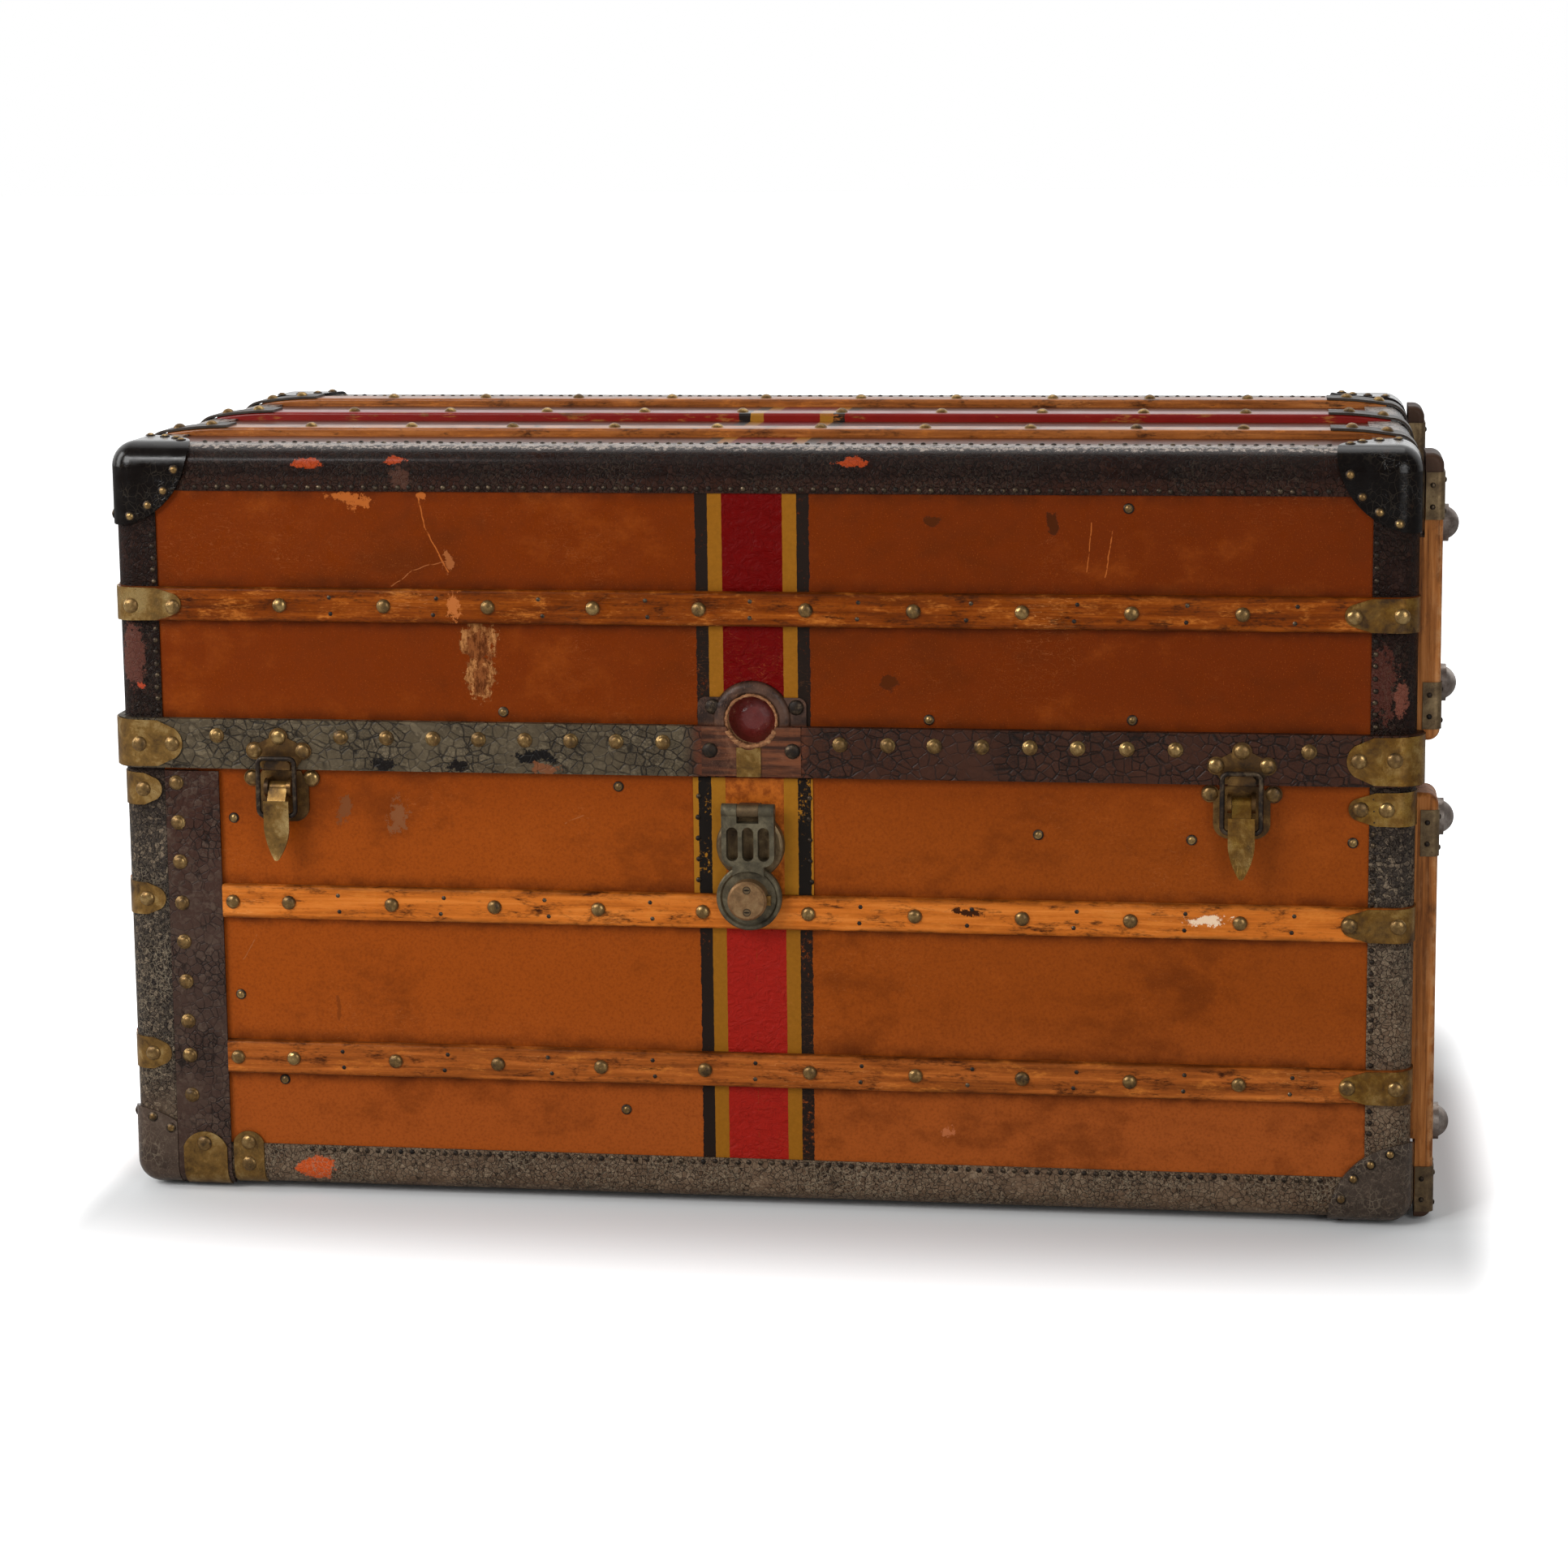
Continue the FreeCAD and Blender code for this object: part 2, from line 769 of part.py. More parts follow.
def latch_lever(x):
    half = ear_inner - lever_clear
    front = bail_d + bail_wire_r + leaf_proud
    leaf_top = pivot_z - leaf_drop
    hub = lever_hub_r
    hub_slant = 0.5 ** 0.5 * hub
    web = side_outline(
        [
            (pivot_d, pivot_z + hub),
            (pivot_d + hub_slant, pivot_z + hub_slant, "arc"),
            (pivot_d + hub, pivot_z),
            (front, leaf_top - leaf_proud),
            (front, bail_z - lug_r * 0.7),
            (bail_d, bail_z - lug_r),
            (bail_d - lug_r, bail_z),
            (pivot_d - hub, pivot_z),
            (pivot_d - hub_slant, pivot_z + hub_slant, "arc"),
        ],
        x - half,
        x + half,
    )
    lug_half = leaf_half - 0.2 * leaf_sheet
    lug = cross_rod(x - lug_half, x + lug_half, bail_d, bail_z, lug_r)
    mid_z = lever_tip_z + leaf_point
    tip_half = leaf_half * 0.22
    tip_rise = leaf_point * 0.06
    side_z = lever_tip_z + leaf_point * 0.48
    outline = front_outline(
        [
            (x - leaf_half, leaf_top),
            (x - leaf_half, mid_z),
            (x - leaf_half * 0.72, side_z, "arc"),
            (x - tip_half, lever_tip_z + tip_rise),
            (x, lever_tip_z, "arc"),
            (x + tip_half, lever_tip_z + tip_rise),
            (x + leaf_half * 0.72, side_z, "arc"),
            (x + leaf_half, mid_z),
            (x + leaf_half, leaf_top),
        ],
        pivot_d,
        front + 4 * leaf_curl,
    )
    bend = front + leaf_curl * 0.3
    bend_z = lever_tip_z + leaf_point / 3
    curl_z = mid_z - leaf_point * 0.22
    end_z = lever_tip_z - 0.5 * leaf_sheet
    curl = side_outline(
        [
            (front - leaf_sheet, leaf_top + 1.0),
            (front, leaf_top + 1.0),
            (front, curl_z),
            (bend, bend_z, "arc"),
            (front + leaf_curl, end_z),
            (front + leaf_curl - leaf_sheet, end_z),
            (bend - leaf_sheet, bend_z, "arc"),
            (front - leaf_sheet, curl_z),
        ],
        x - 2 * leaf_half,
        x + 2 * leaf_half,
    )
    lever = union([web, lug, outline.common(curl)])
    lever = lever.cut(cross_rod(x - base_half, x + base_half, pivot_d, pivot_z, latch_pin_r + run_clear))
    return lever.cut(cross_rod(x - base_half, x + base_half, bail_d, bail_z, bail_wire_r + run_clear))


def latch_bail(x):
    y = face_y(bail_d)
    run = bail_half - bail_bend
    shapes = []
    for z in (bail_z, bail_top):
        shapes.append(cross_rod(x - run, x + run, bail_d, z, bail_wire_r))
    for side in (-1, 1):
        start = V(x + side * bail_half, y, bail_z + bail_bend)
        shapes.append(Part.makeCylinder(bail_wire_r, bail_top - bail_z - 2 * bail_bend, start, Z_AXIS))
        for z, up in ((bail_z + bail_bend, -1), (bail_top - bail_bend, 1)):
            ring = Part.makeTorus(bail_bend, bail_wire_r, V(x + side * run, y, z), Y_AXIS)
            x0 = x + side * run
            x1 = x + side * (bail_half + bail_bend)
            z1 = z + up * 3 * bail_bend
            y0 = y - 2 * bail_wire_r
            y1 = y + 2 * bail_wire_r
            corner = block(min(x0, x1), max(x0, x1), y0, y1, min(z, z1), max(z, z1))
            shapes.append(ring.common(corner))
    return union(shapes)


def latch_keeper(x):
    low = valance_low + keeper_rise
    seat = valance_thick
    face = seat + keeper_sheet
    lobe_z = low + 0.57 * keeper_high
    plate = front_outline(
        [
            (x - keeper_foot_half, low),
            (x + keeper_foot_half, low),
            (x + keeper_half, low + keeper_high / 3),
            (x + keeper_half, low + 0.74 * keeper_high),
            (x + keeper_half / 3, low + keeper_high),
            (x - keeper_half / 3, low + keeper_high),
            (x - keeper_half, low + 0.74 * keeper_high),
            (x - keeper_half, low + keeper_high / 3),
        ],
        seat,
        face,
    )
    lobes = [
        front_disc(x, low + keeper_high, keeper_top_lobe_r, seat, face),
        front_disc(x - keeper_half, lobe_z, keeper_lobe_r, seat, face),
        front_disc(x + keeper_half, lobe_z, keeper_lobe_r, seat, face),
    ]
    catch = front_outline(
        [
            (x - catch_half, low),
            (x + catch_half, low),
            (x + catch_half, low + catch_side),
            (x, low + catch_high, "arc"),
            (x - catch_half, low + catch_side),
        ],
        face - keeper_sheet / 3,
        seat + catch_out + keeper_sheet,
    )
    return union([plate, catch] + lobes)


def hasp_casting():
    x = hasp_x
    d0 = hasp_d - hasp_thick / 2
    d1 = hasp_d + hasp_thick / 2
    inner = hasp_half - hasp_corner
    bend = hasp_half - 0.29 * hasp_corner
    bend_z = hasp_low + 0.29 * hasp_corner
    body = front_outline(
        [
            (x - hasp_half, hasp_z),
            (x - hasp_half, hasp_low + hasp_corner),
            (x - bend, bend_z, "arc"),
            (x - inner, hasp_low),
            (x - inner, dish_z),
            (x + inner, dish_z),
            (x + inner, hasp_low),
            (x + bend, bend_z, "arc"),
            (x + hasp_half, hasp_low + hasp_corner),
            (x + hasp_half, hasp_z),
        ],
        d0,
        d1,
    )
    top = cross_rod(x - hasp_half, x + hasp_half, hasp_d, hasp_z, hasp_knuckle_r)
    rim = dish_rim
    dish = front_revolve(
        [
            (0.0, d0),
            (dish_r, d0),
            (dish_r, hasp_d + 0.12 * rim),
            (dish_r - 0.24 * rim, hasp_d + 0.36 * rim),
            (dish_r - 0.68 * rim, hasp_d + 0.36 * rim),
            (dish_r - rim, hasp_d),
            (0.0, hasp_d),
        ],
        x,
        dish_z,
    )
    casting = body.fuse(top)
    casting = casting.cut(front_disc(x, dish_z, dish_r - 0.8 * rim, hasp_d, d1 + hasp_thick))
    casting = union([casting, dish])
    notch_half = mount_knuckle_half + knuckle_side_gap
    notch_low = hasp_z - mount_knuckle_r - 0.5 * hasp_thick
    notch = front_block(x - notch_half, x + notch_half, d0 - rim, d1 + rim, notch_low, hasp_z + 2 * hasp_thick)
    casting = casting.cut(notch)
    for index in (-1, 0, 1):
        casting = casting.cut(hasp_slot(x + index * slot_pitch, d0, d1))
    return casting.cut(cross_rod(x - 2 * hasp_half, x + 2 * hasp_half, hasp_d, hasp_z, hasp_pin_r + run_clear))


def hasp_slot(x, d0, d1):
    low = hasp_low + slot_foot + slot_half
    high = hasp_z - slot_head - slot_half
    return front_outline(
        [
            (x - slot_half, low),
            (x, low - slot_half, "arc"),
            (x + slot_half, low),
            (x + slot_half, high),
            (x, high + slot_half, "arc"),
            (x - slot_half, high),
        ],
        d0 - 1.0,
        d1 + 1.0,
    )


def bolt_block(spare):
    """Spring bolt in the boss, or its pocket when given room to spare."""
    inner = hasp_x + boss_r * 0.5
    x0 = inner - bolt_travel - bolt_clear if spare else inner
    x1 = hasp_x + boss_r + bolt_out
    mid = (hasp_d + boss_tip) / 2
    thick = bolt_thick / 2 + spare
    tall = bolt_half + spare
    return front_block(x0, x1, mid - thick, mid + thick, dish_z - tall, dish_z + tall)


def lock_boss():
    profile = [
        (0.0, hasp_d),
        (boss_r, hasp_d),
        (boss_r, boss_tip - boss_edge),
        (boss_r - boss_edge, boss_tip),
        (0.0, boss_tip),
    ]
    return front_revolve(profile, hasp_x, dish_z).cut(bolt_block(bolt_clear))


def hasp_mount():
    x = hasp_x
    half = mount_knuckle_half
    disc = front_revolve(
        [
            (0.0, patch_sheet),
            (mount_r, patch_sheet),
            (mount_r, mount_face - mount_edge),
            (mount_r - 0.3 * mount_edge, mount_face - 0.3 * mount_edge),
            (mount_r - mount_edge, mount_face),
            (0.0, mount_face),
        ],
        x,
        mount_z,
    )
    root = hasp_d - 0.9 * mount_knuckle_r
    crown = hasp_z + 0.7 * mount_knuckle_r
    arm = front_block(x - half, x + half, patch_sheet, root, mount_z + 0.4 * mount_r, crown)
    barrel = cross_rod(x - half, x + half, hasp_d, hasp_z, mount_knuckle_r)
    neck = front_block(x - half, x + half, root - 1.0, hasp_d, hasp_z - mount_knuckle_r, crown)
    return union([disc, arm, barrel, neck]).cut(cross_rod(x - half - 1, x + half + 1, hasp_d, hasp_z, hasp_pin_r))


def lock_escutcheon(slat):
    """Arched plate above the valance and a smooth plate over the valance, both round the recess."""
    low = valance_high
    high = recess_z + recess_r + arch_rim
    shoulder = low + arch_rise
    bend_x = arch_half - arch_corner / 3
    bend_z = shoulder - arch_corner / 3
    arch = front_outline(
        [
            (-arch_half, low),
            (arch_half, low),
            (arch_half, shoulder - arch_corner),
            (bend_x, bend_z, "arc"),
            (arch_half - arch_corner, shoulder),
            (arch_neck, shoulder),
            (0.0, high, "arc"),
            (-arch_neck, shoulder),
            (-arch_half + arch_corner, shoulder),
            (-bend_x, bend_z, "arc"),
            (-arch_half, shoulder - arch_corner),
        ],
        0.0,
        binding,
    )
    seat = valance_thick
    low_plate = front_block(
        -smooth_half, smooth_half, seat, seat + smooth_sheet, valance_low + keeper_rise, valance_high
    )
    hole = front_disc(0.0, recess_z, recess_r, -canvas, 2 * valance_thick)
    return [arch.cut(hole).cut(slat), low_plate.cut(hole)]


def lock_cup():
    back = -canvas - wall
    rim = recess_r + cup_rim
    profile = [
        (0.0, back + cup_rise),
        (recess_r * 0.42, back + 0.85 * cup_rise),
        (recess_r * 0.75, back + 0.4 * cup_rise),
        (recess_r - 1.0, back),
        (rim, back),
        (rim, back - cup_sheet),
        (0.0, back - cup_sheet),
    ]
    return front_revolve(profile, 0.0, recess_z)


def strike_tongue():
    d0 = valance_thick + smooth_sheet
    x = hasp_x
    low = valance_low + keeper_rise / 2
    high = low + strike_high
    outline = [
        (x - strike_half, low),
        (x + strike_half, low),
        (x + strike_half, high),
        (x + 0.6 * strike_half, high),
        (x, high - 0.2 * strike_half, "arc"),
        (x - 0.6 * strike_half, high),
        (x - strike_half, high),
    ]
    hole = front_disc(0.0, recess_z, recess_r, d0 - 1.0, d0 + 2 * strike_sheet)
    return front_outline(outline, d0, d0 + strike_sheet).cut(hole)


def seam_strip():
    """Leather-covered strip on the flap that laps over the front panel and folds under the bottom edge."""
    slab = block(strip_left, strip_right, -far, -half_y + strip_fold, -far, flap_top)
    over_body = block(seam_x - flap_gap, far, -far, far, -far, far)
    lap = form(binding + strip_clear).common(over_body)
    return form(strip_thick).common(slab).cut(skin_form).cut(lap).cut(frame)


def body_nodes():
    nodes = {}
    ix, iy = wood_inner
    front, back = boards(
        walls(seam_x, far, ("front", "back"), wood_low, body_top, wood_inner, wood_outer)
    )
    nodes["body_front_panel"] = [front]
    nodes["body_back_panel"] = [back]
    nodes["body_right_panel"] = boards(
        walls(seam_x, far, ("right",), wood_low, body_top, wood_inner, wood_outer)
    )
    nodes["body_bottom_panel"] = boards([block(seam_x, ix, -iy, iy, wood_low, wood_low + wall)])
    rail_low = flap_top + flap_gap
    nodes["body_left_rail"] = boards(
        [
            block(-wood_x, seam_x, -wood_y, -iy, rail_low, body_top),
            block(-wood_x, seam_x, iy, wood_y, rail_low, body_top),
            block(-wood_x, -ix, -iy, iy, rail_low, body_top),
        ]
    )
    nodes["body_canvas"] = canvas_shell.common(body_zone).Solids
    floor = wood_low + wall + lining
    inside = walls(seam_x, far, ("front", "back", "right"), floor, body_top, lining_inner, wood_inner)
    inside.append(block(seam_x, ix, -iy, iy, wood_low + wall, floor))
    nodes["body_lining"] = inside
    nodes["body_edge_binding"] = frame.common(body_zone).Solids
    nodes["body_corner_caps"] = low_caps[2:]
    slats = [front_slat(slat_left, half_x, z) for z in body_slat_z]
    nodes["body_wall_slats"] = slats + [flip_y(slat) for slat in slats]
    nodes["body_runners"] = [
        runner(seam_x + runner_from_seam, half_x - runner_short, y) for y in top_slat_y
    ]
    clamps = [corner_clamp(z, slat_width, clamp_reach, slat_thick, 0.0) for z in body_slat_z]
    clamps.append(corner_clamp(rim_clamp_z, slat_width, clamp_reach - rim_clamp_short, binding, 0.0))
    clamps += [flip_y(clamp) for clamp in clamps]
    clamp_left = strip_right + seam_clamp_gap
    seam_clamp = tongue(clamp_left, clamp_left + seam_clamp_width, seam_clamp_height)
    clamps.append(seam_clamp.common(form(binding + clamp_sheet)).cut(bound_form))
    nodes["body_clamps"] = clamps
    glides = [glide(z) for z in body_glide_z]
    nodes["body_glides"] = glides + [flip_y(item) for item in glides]
    bar = batten(body_batten_low, body_batten_high, True, [])
    nodes["body_battens"] = [bar, flip_y(bar)]
    plate_lows = (
        body_batten_low + body_plate_inset[0],
        body_batten_high - body_plate_inset[1] - plate_height,
    )
    plates = [batten_plate(z, glides) for z in plate_lows]
    nodes["body_batten_plates"] = plates + [flip_y(plate) for plate in plates]
    patch_low = body_slat_z[1] + slat_width / 2 + patch_gap
    nodes["lock_patch"] = [
        front_block(-patch_half, patch_half, 0.0, patch_sheet, patch_low, valance_low - base_gap)
    ]
    nodes["hasp_mount"] = [hasp_mount()]
    nodes["latch_bases"] = [latch_base(-latch_x), latch_base(latch_x)]
    pins = [
        cross_rod(side * latch_x - ear_outer, side * latch_x + ear_outer, pivot_d, pivot_z, latch_pin_r)
        for side in (-1, 1)
    ]
    pins.append(cross_rod(hasp_x - hasp_half, hasp_x + hasp_half, hasp_d, hasp_z, hasp_pin_r))
    leaves = []
    for fixed, moving, pin in [lid_hinge(x) for x in lid_hinge_x] + [flap_hinge(z) for z in flap_hinge_z]:
        leaves.append(fixed)
        pins.append(pin)
    nodes["body_hinge_leaves"] = leaves
    nodes["pivot_pins"] = pins
    return nodes


def lid_nodes():
    nodes = {}
    ix, iy = wood_inner
    ceiling = wood_high - wall
    all_sides = ("front", "back", "right", "left")
    hole = front_disc(0.0, recess_z, recess_r, -half_y / 2, half_y / 2)
    front, back, right, left = boards(
        walls(-far, far, all_sides, lid_low, ceiling, wood_inner, wood_outer)
    )
    nodes["lid_front_panel"] = [front.cut(hole)]
    nodes["lid_back_panel"] = [back]
    nodes["lid_end_panels"] = [right, left]
    nodes["lid_top_panel"] = boards([block(-wood_x, wood_x, -wood_y, wood_y, ceiling, wood_high)])
    nodes["lid_canvas"] = canvas_shell.common(lid_zone).cut(hole).Solids
    inside = walls(-far, far, all_sides, lid_low, ceiling - lining, lining_inner, wood_inner)
    cup_room = front_disc(0.0, recess_z, recess_r + cup_rim + cap_clear / 2, -wall - cup_rise - cup_sheet, 0.0)
    inside[0] = inside[0].cut(cup_room)
    inside.append(block(-ix, ix, -iy, iy, ceiling - lining, ceiling))
    nodes["lid_lining"] = inside
    nodes["lid_edge_binding"] = frame.common(lid_zone).Solids
    nodes["lid_corner_caps"] = lid_caps
    slat = front_slat(-half_x, half_x, lid_slat_z)
    nodes["lid_wall_slats"] = [slat, flip_y(slat), end_slat(lid_slat_z)]
    nodes["lid_top_slats"] = [top_slat(y) for y in top_slat_y]
    straps = [top_strap(y) for y in top_slat_y]
    nodes["lid_top_clamps"] = straps + [flip_x(strap) for strap in straps]
    nodes["lid_top_rivets"] = top_rivets()
    clamp = corner_clamp(lid_slat_z, slat_width, clamp_reach, slat_thick, 0.0)
    pair = [clamp, flip_x(clamp)]
    nodes["lid_clamps"] = pair + [flip_y(item) for item in pair]
    valance = valance_pieces()
    nodes["lid_valance"] = valance
    mid = (valance_low + valance_high) / 2
    tall = valance_high - valance_low - 2 * valance_cap_margin
    proud = valance_thick - binding
    cap = corner_clamp(mid, tall, clamp_reach + valance_cap_over, valance_thick, proud)
    nodes["valance_caps"] = [cap, flip_x(cap)]
    glides = [glide(z) for z in lid_glide_z]
    nodes["lid_glides"] = glides + [flip_y(item) for item in glides]
    bar = batten(lid_batten_low, lid_batten_high, False, valance)
    far_bar = flip_y(batten(lid_batten_low, lid_batten_high, False, []))
    for piece in valance:
        far_bar = far_bar.cut(piece)
    nodes["lid_battens"] = [bar, far_bar]
    plate_lows = (
        lid_batten_low + lid_plate_inset[0],
        lid_batten_high - lid_plate_inset[1] - plate_height,
    )
    plates = [batten_plate(z, glides) for z in plate_lows]
    nodes["lid_batten_plates"] = plates + [flip_y(plate) for plate in plates]
    nodes["lock_escutcheon"] = lock_escutcheon(slat)
    nodes["lock_cup"] = [lock_cup()]
    nodes["strike_tongue"] = [strike_tongue()]
    nodes["latch_keepers"] = [latch_keeper(-latch_x), latch_keeper(latch_x)]
    nodes["lid_hinge_leaves"] = [lid_hinge(x)[1] for x in lid_hinge_x]
    return nodes


def flap_nodes():
    nodes = {}
    ix, iy = wood_inner
    edge = seam_x - flap_gap
    front, back, left = boards(
        walls(-far, edge, ("front", "back", "left"), wood_low, flap_top, wood_inner, wood_outer)
    )
    nodes["flap_end_panel"] = [left]
    floor = boards([block(-ix, edge, -iy, iy, wood_low, wood_low + wall)])
    nodes["flap_returns"] = [front, back] + floor
    nodes["flap_canvas"] = canvas_shell.common(flap_zone).Solids
    nodes["flap_edge_binding"] = frame.common(flap_zone).Solids
    beyond_strip = block(strip_left - seam_gap / 2, far, -far, far, -far, far)
    nodes["flap_corner_caps"] = [cap.cut(beyond_strip) for cap in low_caps[:2]]
    nodes["flap_end_slats"] = [end_slat(z) for z in body_slat_z]
    clamps = [
        flip_x(corner_clamp(z, slat_width, short_clamp_reach, binding, 0.0))
        for z in body_slat_z + (rim_clamp_z,)
    ]
    nodes["flap_clamps"] = clamps + [flip_y(clamp) for clamp in clamps]
    nodes["flap_seam_strip"] = [seam_strip()]
    cap_left = strip_left + strip_cap_inset
    cap = tongue(cap_left, cap_left + strip_cap_width, strip_cap_height)
    cap = cap.common(form(strip_thick + clamp_sheet)).cut(form(strip_thick))
    nodes["flap_strip_cap"] = [cap]
    nodes["flap_hinge_leaves"] = [flap_hinge(z)[1] for z in flap_hinge_z]
    return nodes


def lock_nodes():
    nodes = {}
    nodes["hasp_casting"] = [hasp_casting()]
    nodes["lock_boss"] = [lock_boss()]
    nodes["lock_bolt"] = [bolt_block(0.0)]
    for name, side in (("left", -1), ("right", 1)):
        nodes["latch_lever_" + name] = [latch_lever(side * latch_x)]
        nodes["latch_bail_" + name] = [latch_bail(side * latch_x)]
    return nodes


# Stored origin: the middle of the underside of the whole trunk, standing on its runners
reach_left = skin_x + valance_thick + clamp_sheet
reach_right = half_x + batten_proud + glide_flange + glide_dome
reach_front = skin_y + boss_tip
reach_back = hinge_y + hinge_barrel_r
shift = V(
    (reach_left - reach_right) / 2,
    (reach_front - reach_back) / 2,
    slat_thick - binding,
)

os.makedirs("parts", exist_ok=True)
for group in (body_nodes(), lid_nodes(), flap_nodes(), lock_nodes()):
    for name, solids in group.items():
        placed = Part.makeCompound([solid.copy() for solid in solids])
        placed.translate(shift)
        placed.exportStep("parts/" + name + ".step")
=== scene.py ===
import bpy
import bmesh
import json
import math
import random
from mathutils import Matrix, Vector

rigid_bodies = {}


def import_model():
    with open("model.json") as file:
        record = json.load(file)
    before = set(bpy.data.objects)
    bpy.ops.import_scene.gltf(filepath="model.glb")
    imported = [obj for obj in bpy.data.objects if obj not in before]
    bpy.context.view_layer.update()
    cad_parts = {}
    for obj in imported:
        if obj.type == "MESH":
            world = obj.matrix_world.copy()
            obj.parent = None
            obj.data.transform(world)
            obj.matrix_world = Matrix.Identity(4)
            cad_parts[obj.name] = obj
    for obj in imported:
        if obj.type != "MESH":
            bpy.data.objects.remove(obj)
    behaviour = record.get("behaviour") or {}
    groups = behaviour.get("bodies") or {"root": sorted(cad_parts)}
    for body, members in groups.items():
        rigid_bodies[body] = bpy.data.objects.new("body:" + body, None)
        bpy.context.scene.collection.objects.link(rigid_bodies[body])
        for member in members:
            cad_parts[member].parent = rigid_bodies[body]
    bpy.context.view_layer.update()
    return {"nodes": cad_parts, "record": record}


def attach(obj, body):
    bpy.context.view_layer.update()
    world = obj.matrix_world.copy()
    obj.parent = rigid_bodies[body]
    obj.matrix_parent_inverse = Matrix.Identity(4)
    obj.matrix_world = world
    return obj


for leftover in list(bpy.data.objects):
    bpy.data.objects.remove(leftover)
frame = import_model()
nodes = frame["nodes"]

# Places on the trunk are written in millimetres from the middle of the carcass and the underside of its
# edging, with the front canvas at FACE, and moved to the stored origin by spot(). Finishes work in metres.
SHIFT = Vector((-12.7, 9.25, 6.0))
FACE = 263.5
HALF_X, HALF_Y, HEIGHT = 550.0, 265.0, 648.0
SLAT = 7.5
SLAT_HALF = 14.5
SLAT_LEVELS = (117.0, 254.8)
LID_SLAT = 513.2
# middle and half widths of the painted stripe, in metres
STRIPE_MID = (1.5 + SHIFT.x) / 1000.0
RED_HALF, GOLD_HALF, BLACK_HALF = 0.0255, 0.0375, 0.048
# heights, in metres, over which the front turns into the top
TOP_TURN = (0.640, 0.650)
EVEN = (1.0, 1.0, 1.0)


def spot(x, y, z):
    return (Vector((x, y, z)) + SHIFT) / 1000.0


def linear(r, g, b):
    """Linear colour from the three values that a screen shows, 0 to 255."""
    def one(v):
        v = v / 255.0
        return v / 12.92 if v <= 0.04045 else ((v + 0.055) / 1.055) ** 2.4
    return (one(r), one(g), one(b), 1.0)


# Node helpers. A colour of three numbers is one seen on a screen, a colour of four is linear.
def fill(tree, node, inputs):
    """Gives each input its value or the socket that feeds it."""
    for key, value in (inputs or {}).items():
        socket = node.inputs[key]
        if isinstance(value, bpy.types.NodeSocket):
            tree.links.new(value, socket)
        elif socket.type == "RGBA" and len(value) == 3:
            socket.default_value = linear(*value)
        else:
            socket.default_value = value
    return node


def put(tree, kind, inputs=None, **settings):
    node = tree.nodes.new("ShaderNode" + kind)
    for key, value in settings.items():
        setattr(node, key, value)
    return fill(tree, node, inputs)


def use(tree, made, inputs=None):
    """The outputs of a node group placed in a tree."""
    node = tree.nodes.new("ShaderNodeGroup")
    node.node_tree = made
    return fill(tree, node, inputs).outputs


def tree_of(*values):
    return next(value.id_data for value in values if isinstance(value, bpy.types.NodeSocket))


def mix(factor, a, b, blend="MIX"):
    inputs = {0: factor, 6: a, 7: b}
    return put(tree_of(factor, a, b), "Mix", inputs, data_type="RGBA", blend_type=blend).outputs[2]


def calc(operation, a, b=0.0, clamp=False):
    return put(tree_of(a, b), "Math", {0: a, 1: b}, operation=operation, use_clamp=clamp).outputs[0]


def times(a, b, clamp=False):
    return calc("MULTIPLY", a, b, clamp)


def apart(a, b):
    return calc("ABSOLUTE", calc("SUBTRACT", a, b))


def shares(a, part, b):
    return calc("ADD", times(a, part), times(b, 1.0 - part))


def any_of(masks):
    total = masks[0]
    for mask in masks[1:]:
        total = calc("MAXIMUM", total, mask)
    return total


def vec(operation, a, b):
    return put(tree_of(a, b), "VectorMath", {0: a, 1: b}, operation=operation).outputs[0]


def measure(operation, a, b=(0.0, 0.0, 0.0)):
    return put(tree_of(a, b), "VectorMath", {0: a, 1: b}, operation=operation).outputs["Value"]


def ramp(factor, stops):
    """Colours, or plain values, at places along a factor."""
    node = put(tree_of(factor), "ValToRGB", {"Fac": factor})
    points = node.color_ramp.elements
    while len(points) < len(stops):
        points.new(1.0)
    for point, (place, colour) in zip(points, stops):
        point.position = place
        point.color = linear(*colour) if hasattr(colour, "__len__") else (colour, colour, colour, 1.0)
    return node.outputs["Color"]


def smooth(value, low, high, out_low=0.0, out_high=1.0):
    inputs = {"Value": value, "From Min": low, "From Max": high, "To Min": out_low, "To Max": out_high}
    return put(tree_of(value), "MapRange", inputs, interpolation_type="SMOOTHSTEP").outputs["Result"]


def noise(vector, scale, detail=4.0, rough=0.55, distortion=0.0):
    inputs = {"Vector": vector, "Scale": scale, "Detail": detail, "Roughness": rough}
    return put(tree_of(vector), "TexNoise", dict(inputs, Distortion=distortion)).outputs["Fac"]


def drift(tree, scale):
    """Three independent slow noises."""
    return put(tree, "TexNoise", {"Vector": here(tree), "Scale": scale, "Detail": 3.0}).outputs["Color"]


def here(tree):
    return put(tree, "TexCoord").outputs["Object"]


def group(name, inputs, outputs):
    """An empty shader node group with named sockets, and its two end nodes."""
    tree = bpy.data.node_groups.new(name, "ShaderNodeTree")
    kinds = {"f": "NodeSocketFloat", "c": "NodeSocketColor", "v": "NodeSocketVector"}
    for key, kind, value in inputs:
        socket = tree.interface.new_socket(key, in_out="INPUT", socket_type=kinds[kind])
        socket.default_value = value
    for key, kind in outputs:
        tree.interface.new_socket(key, in_out="OUTPUT", socket_type=kinds[kind])
    return tree, tree.nodes.new("NodeGroupInput").outputs, tree.nodes.new("NodeGroupOutput").inputs


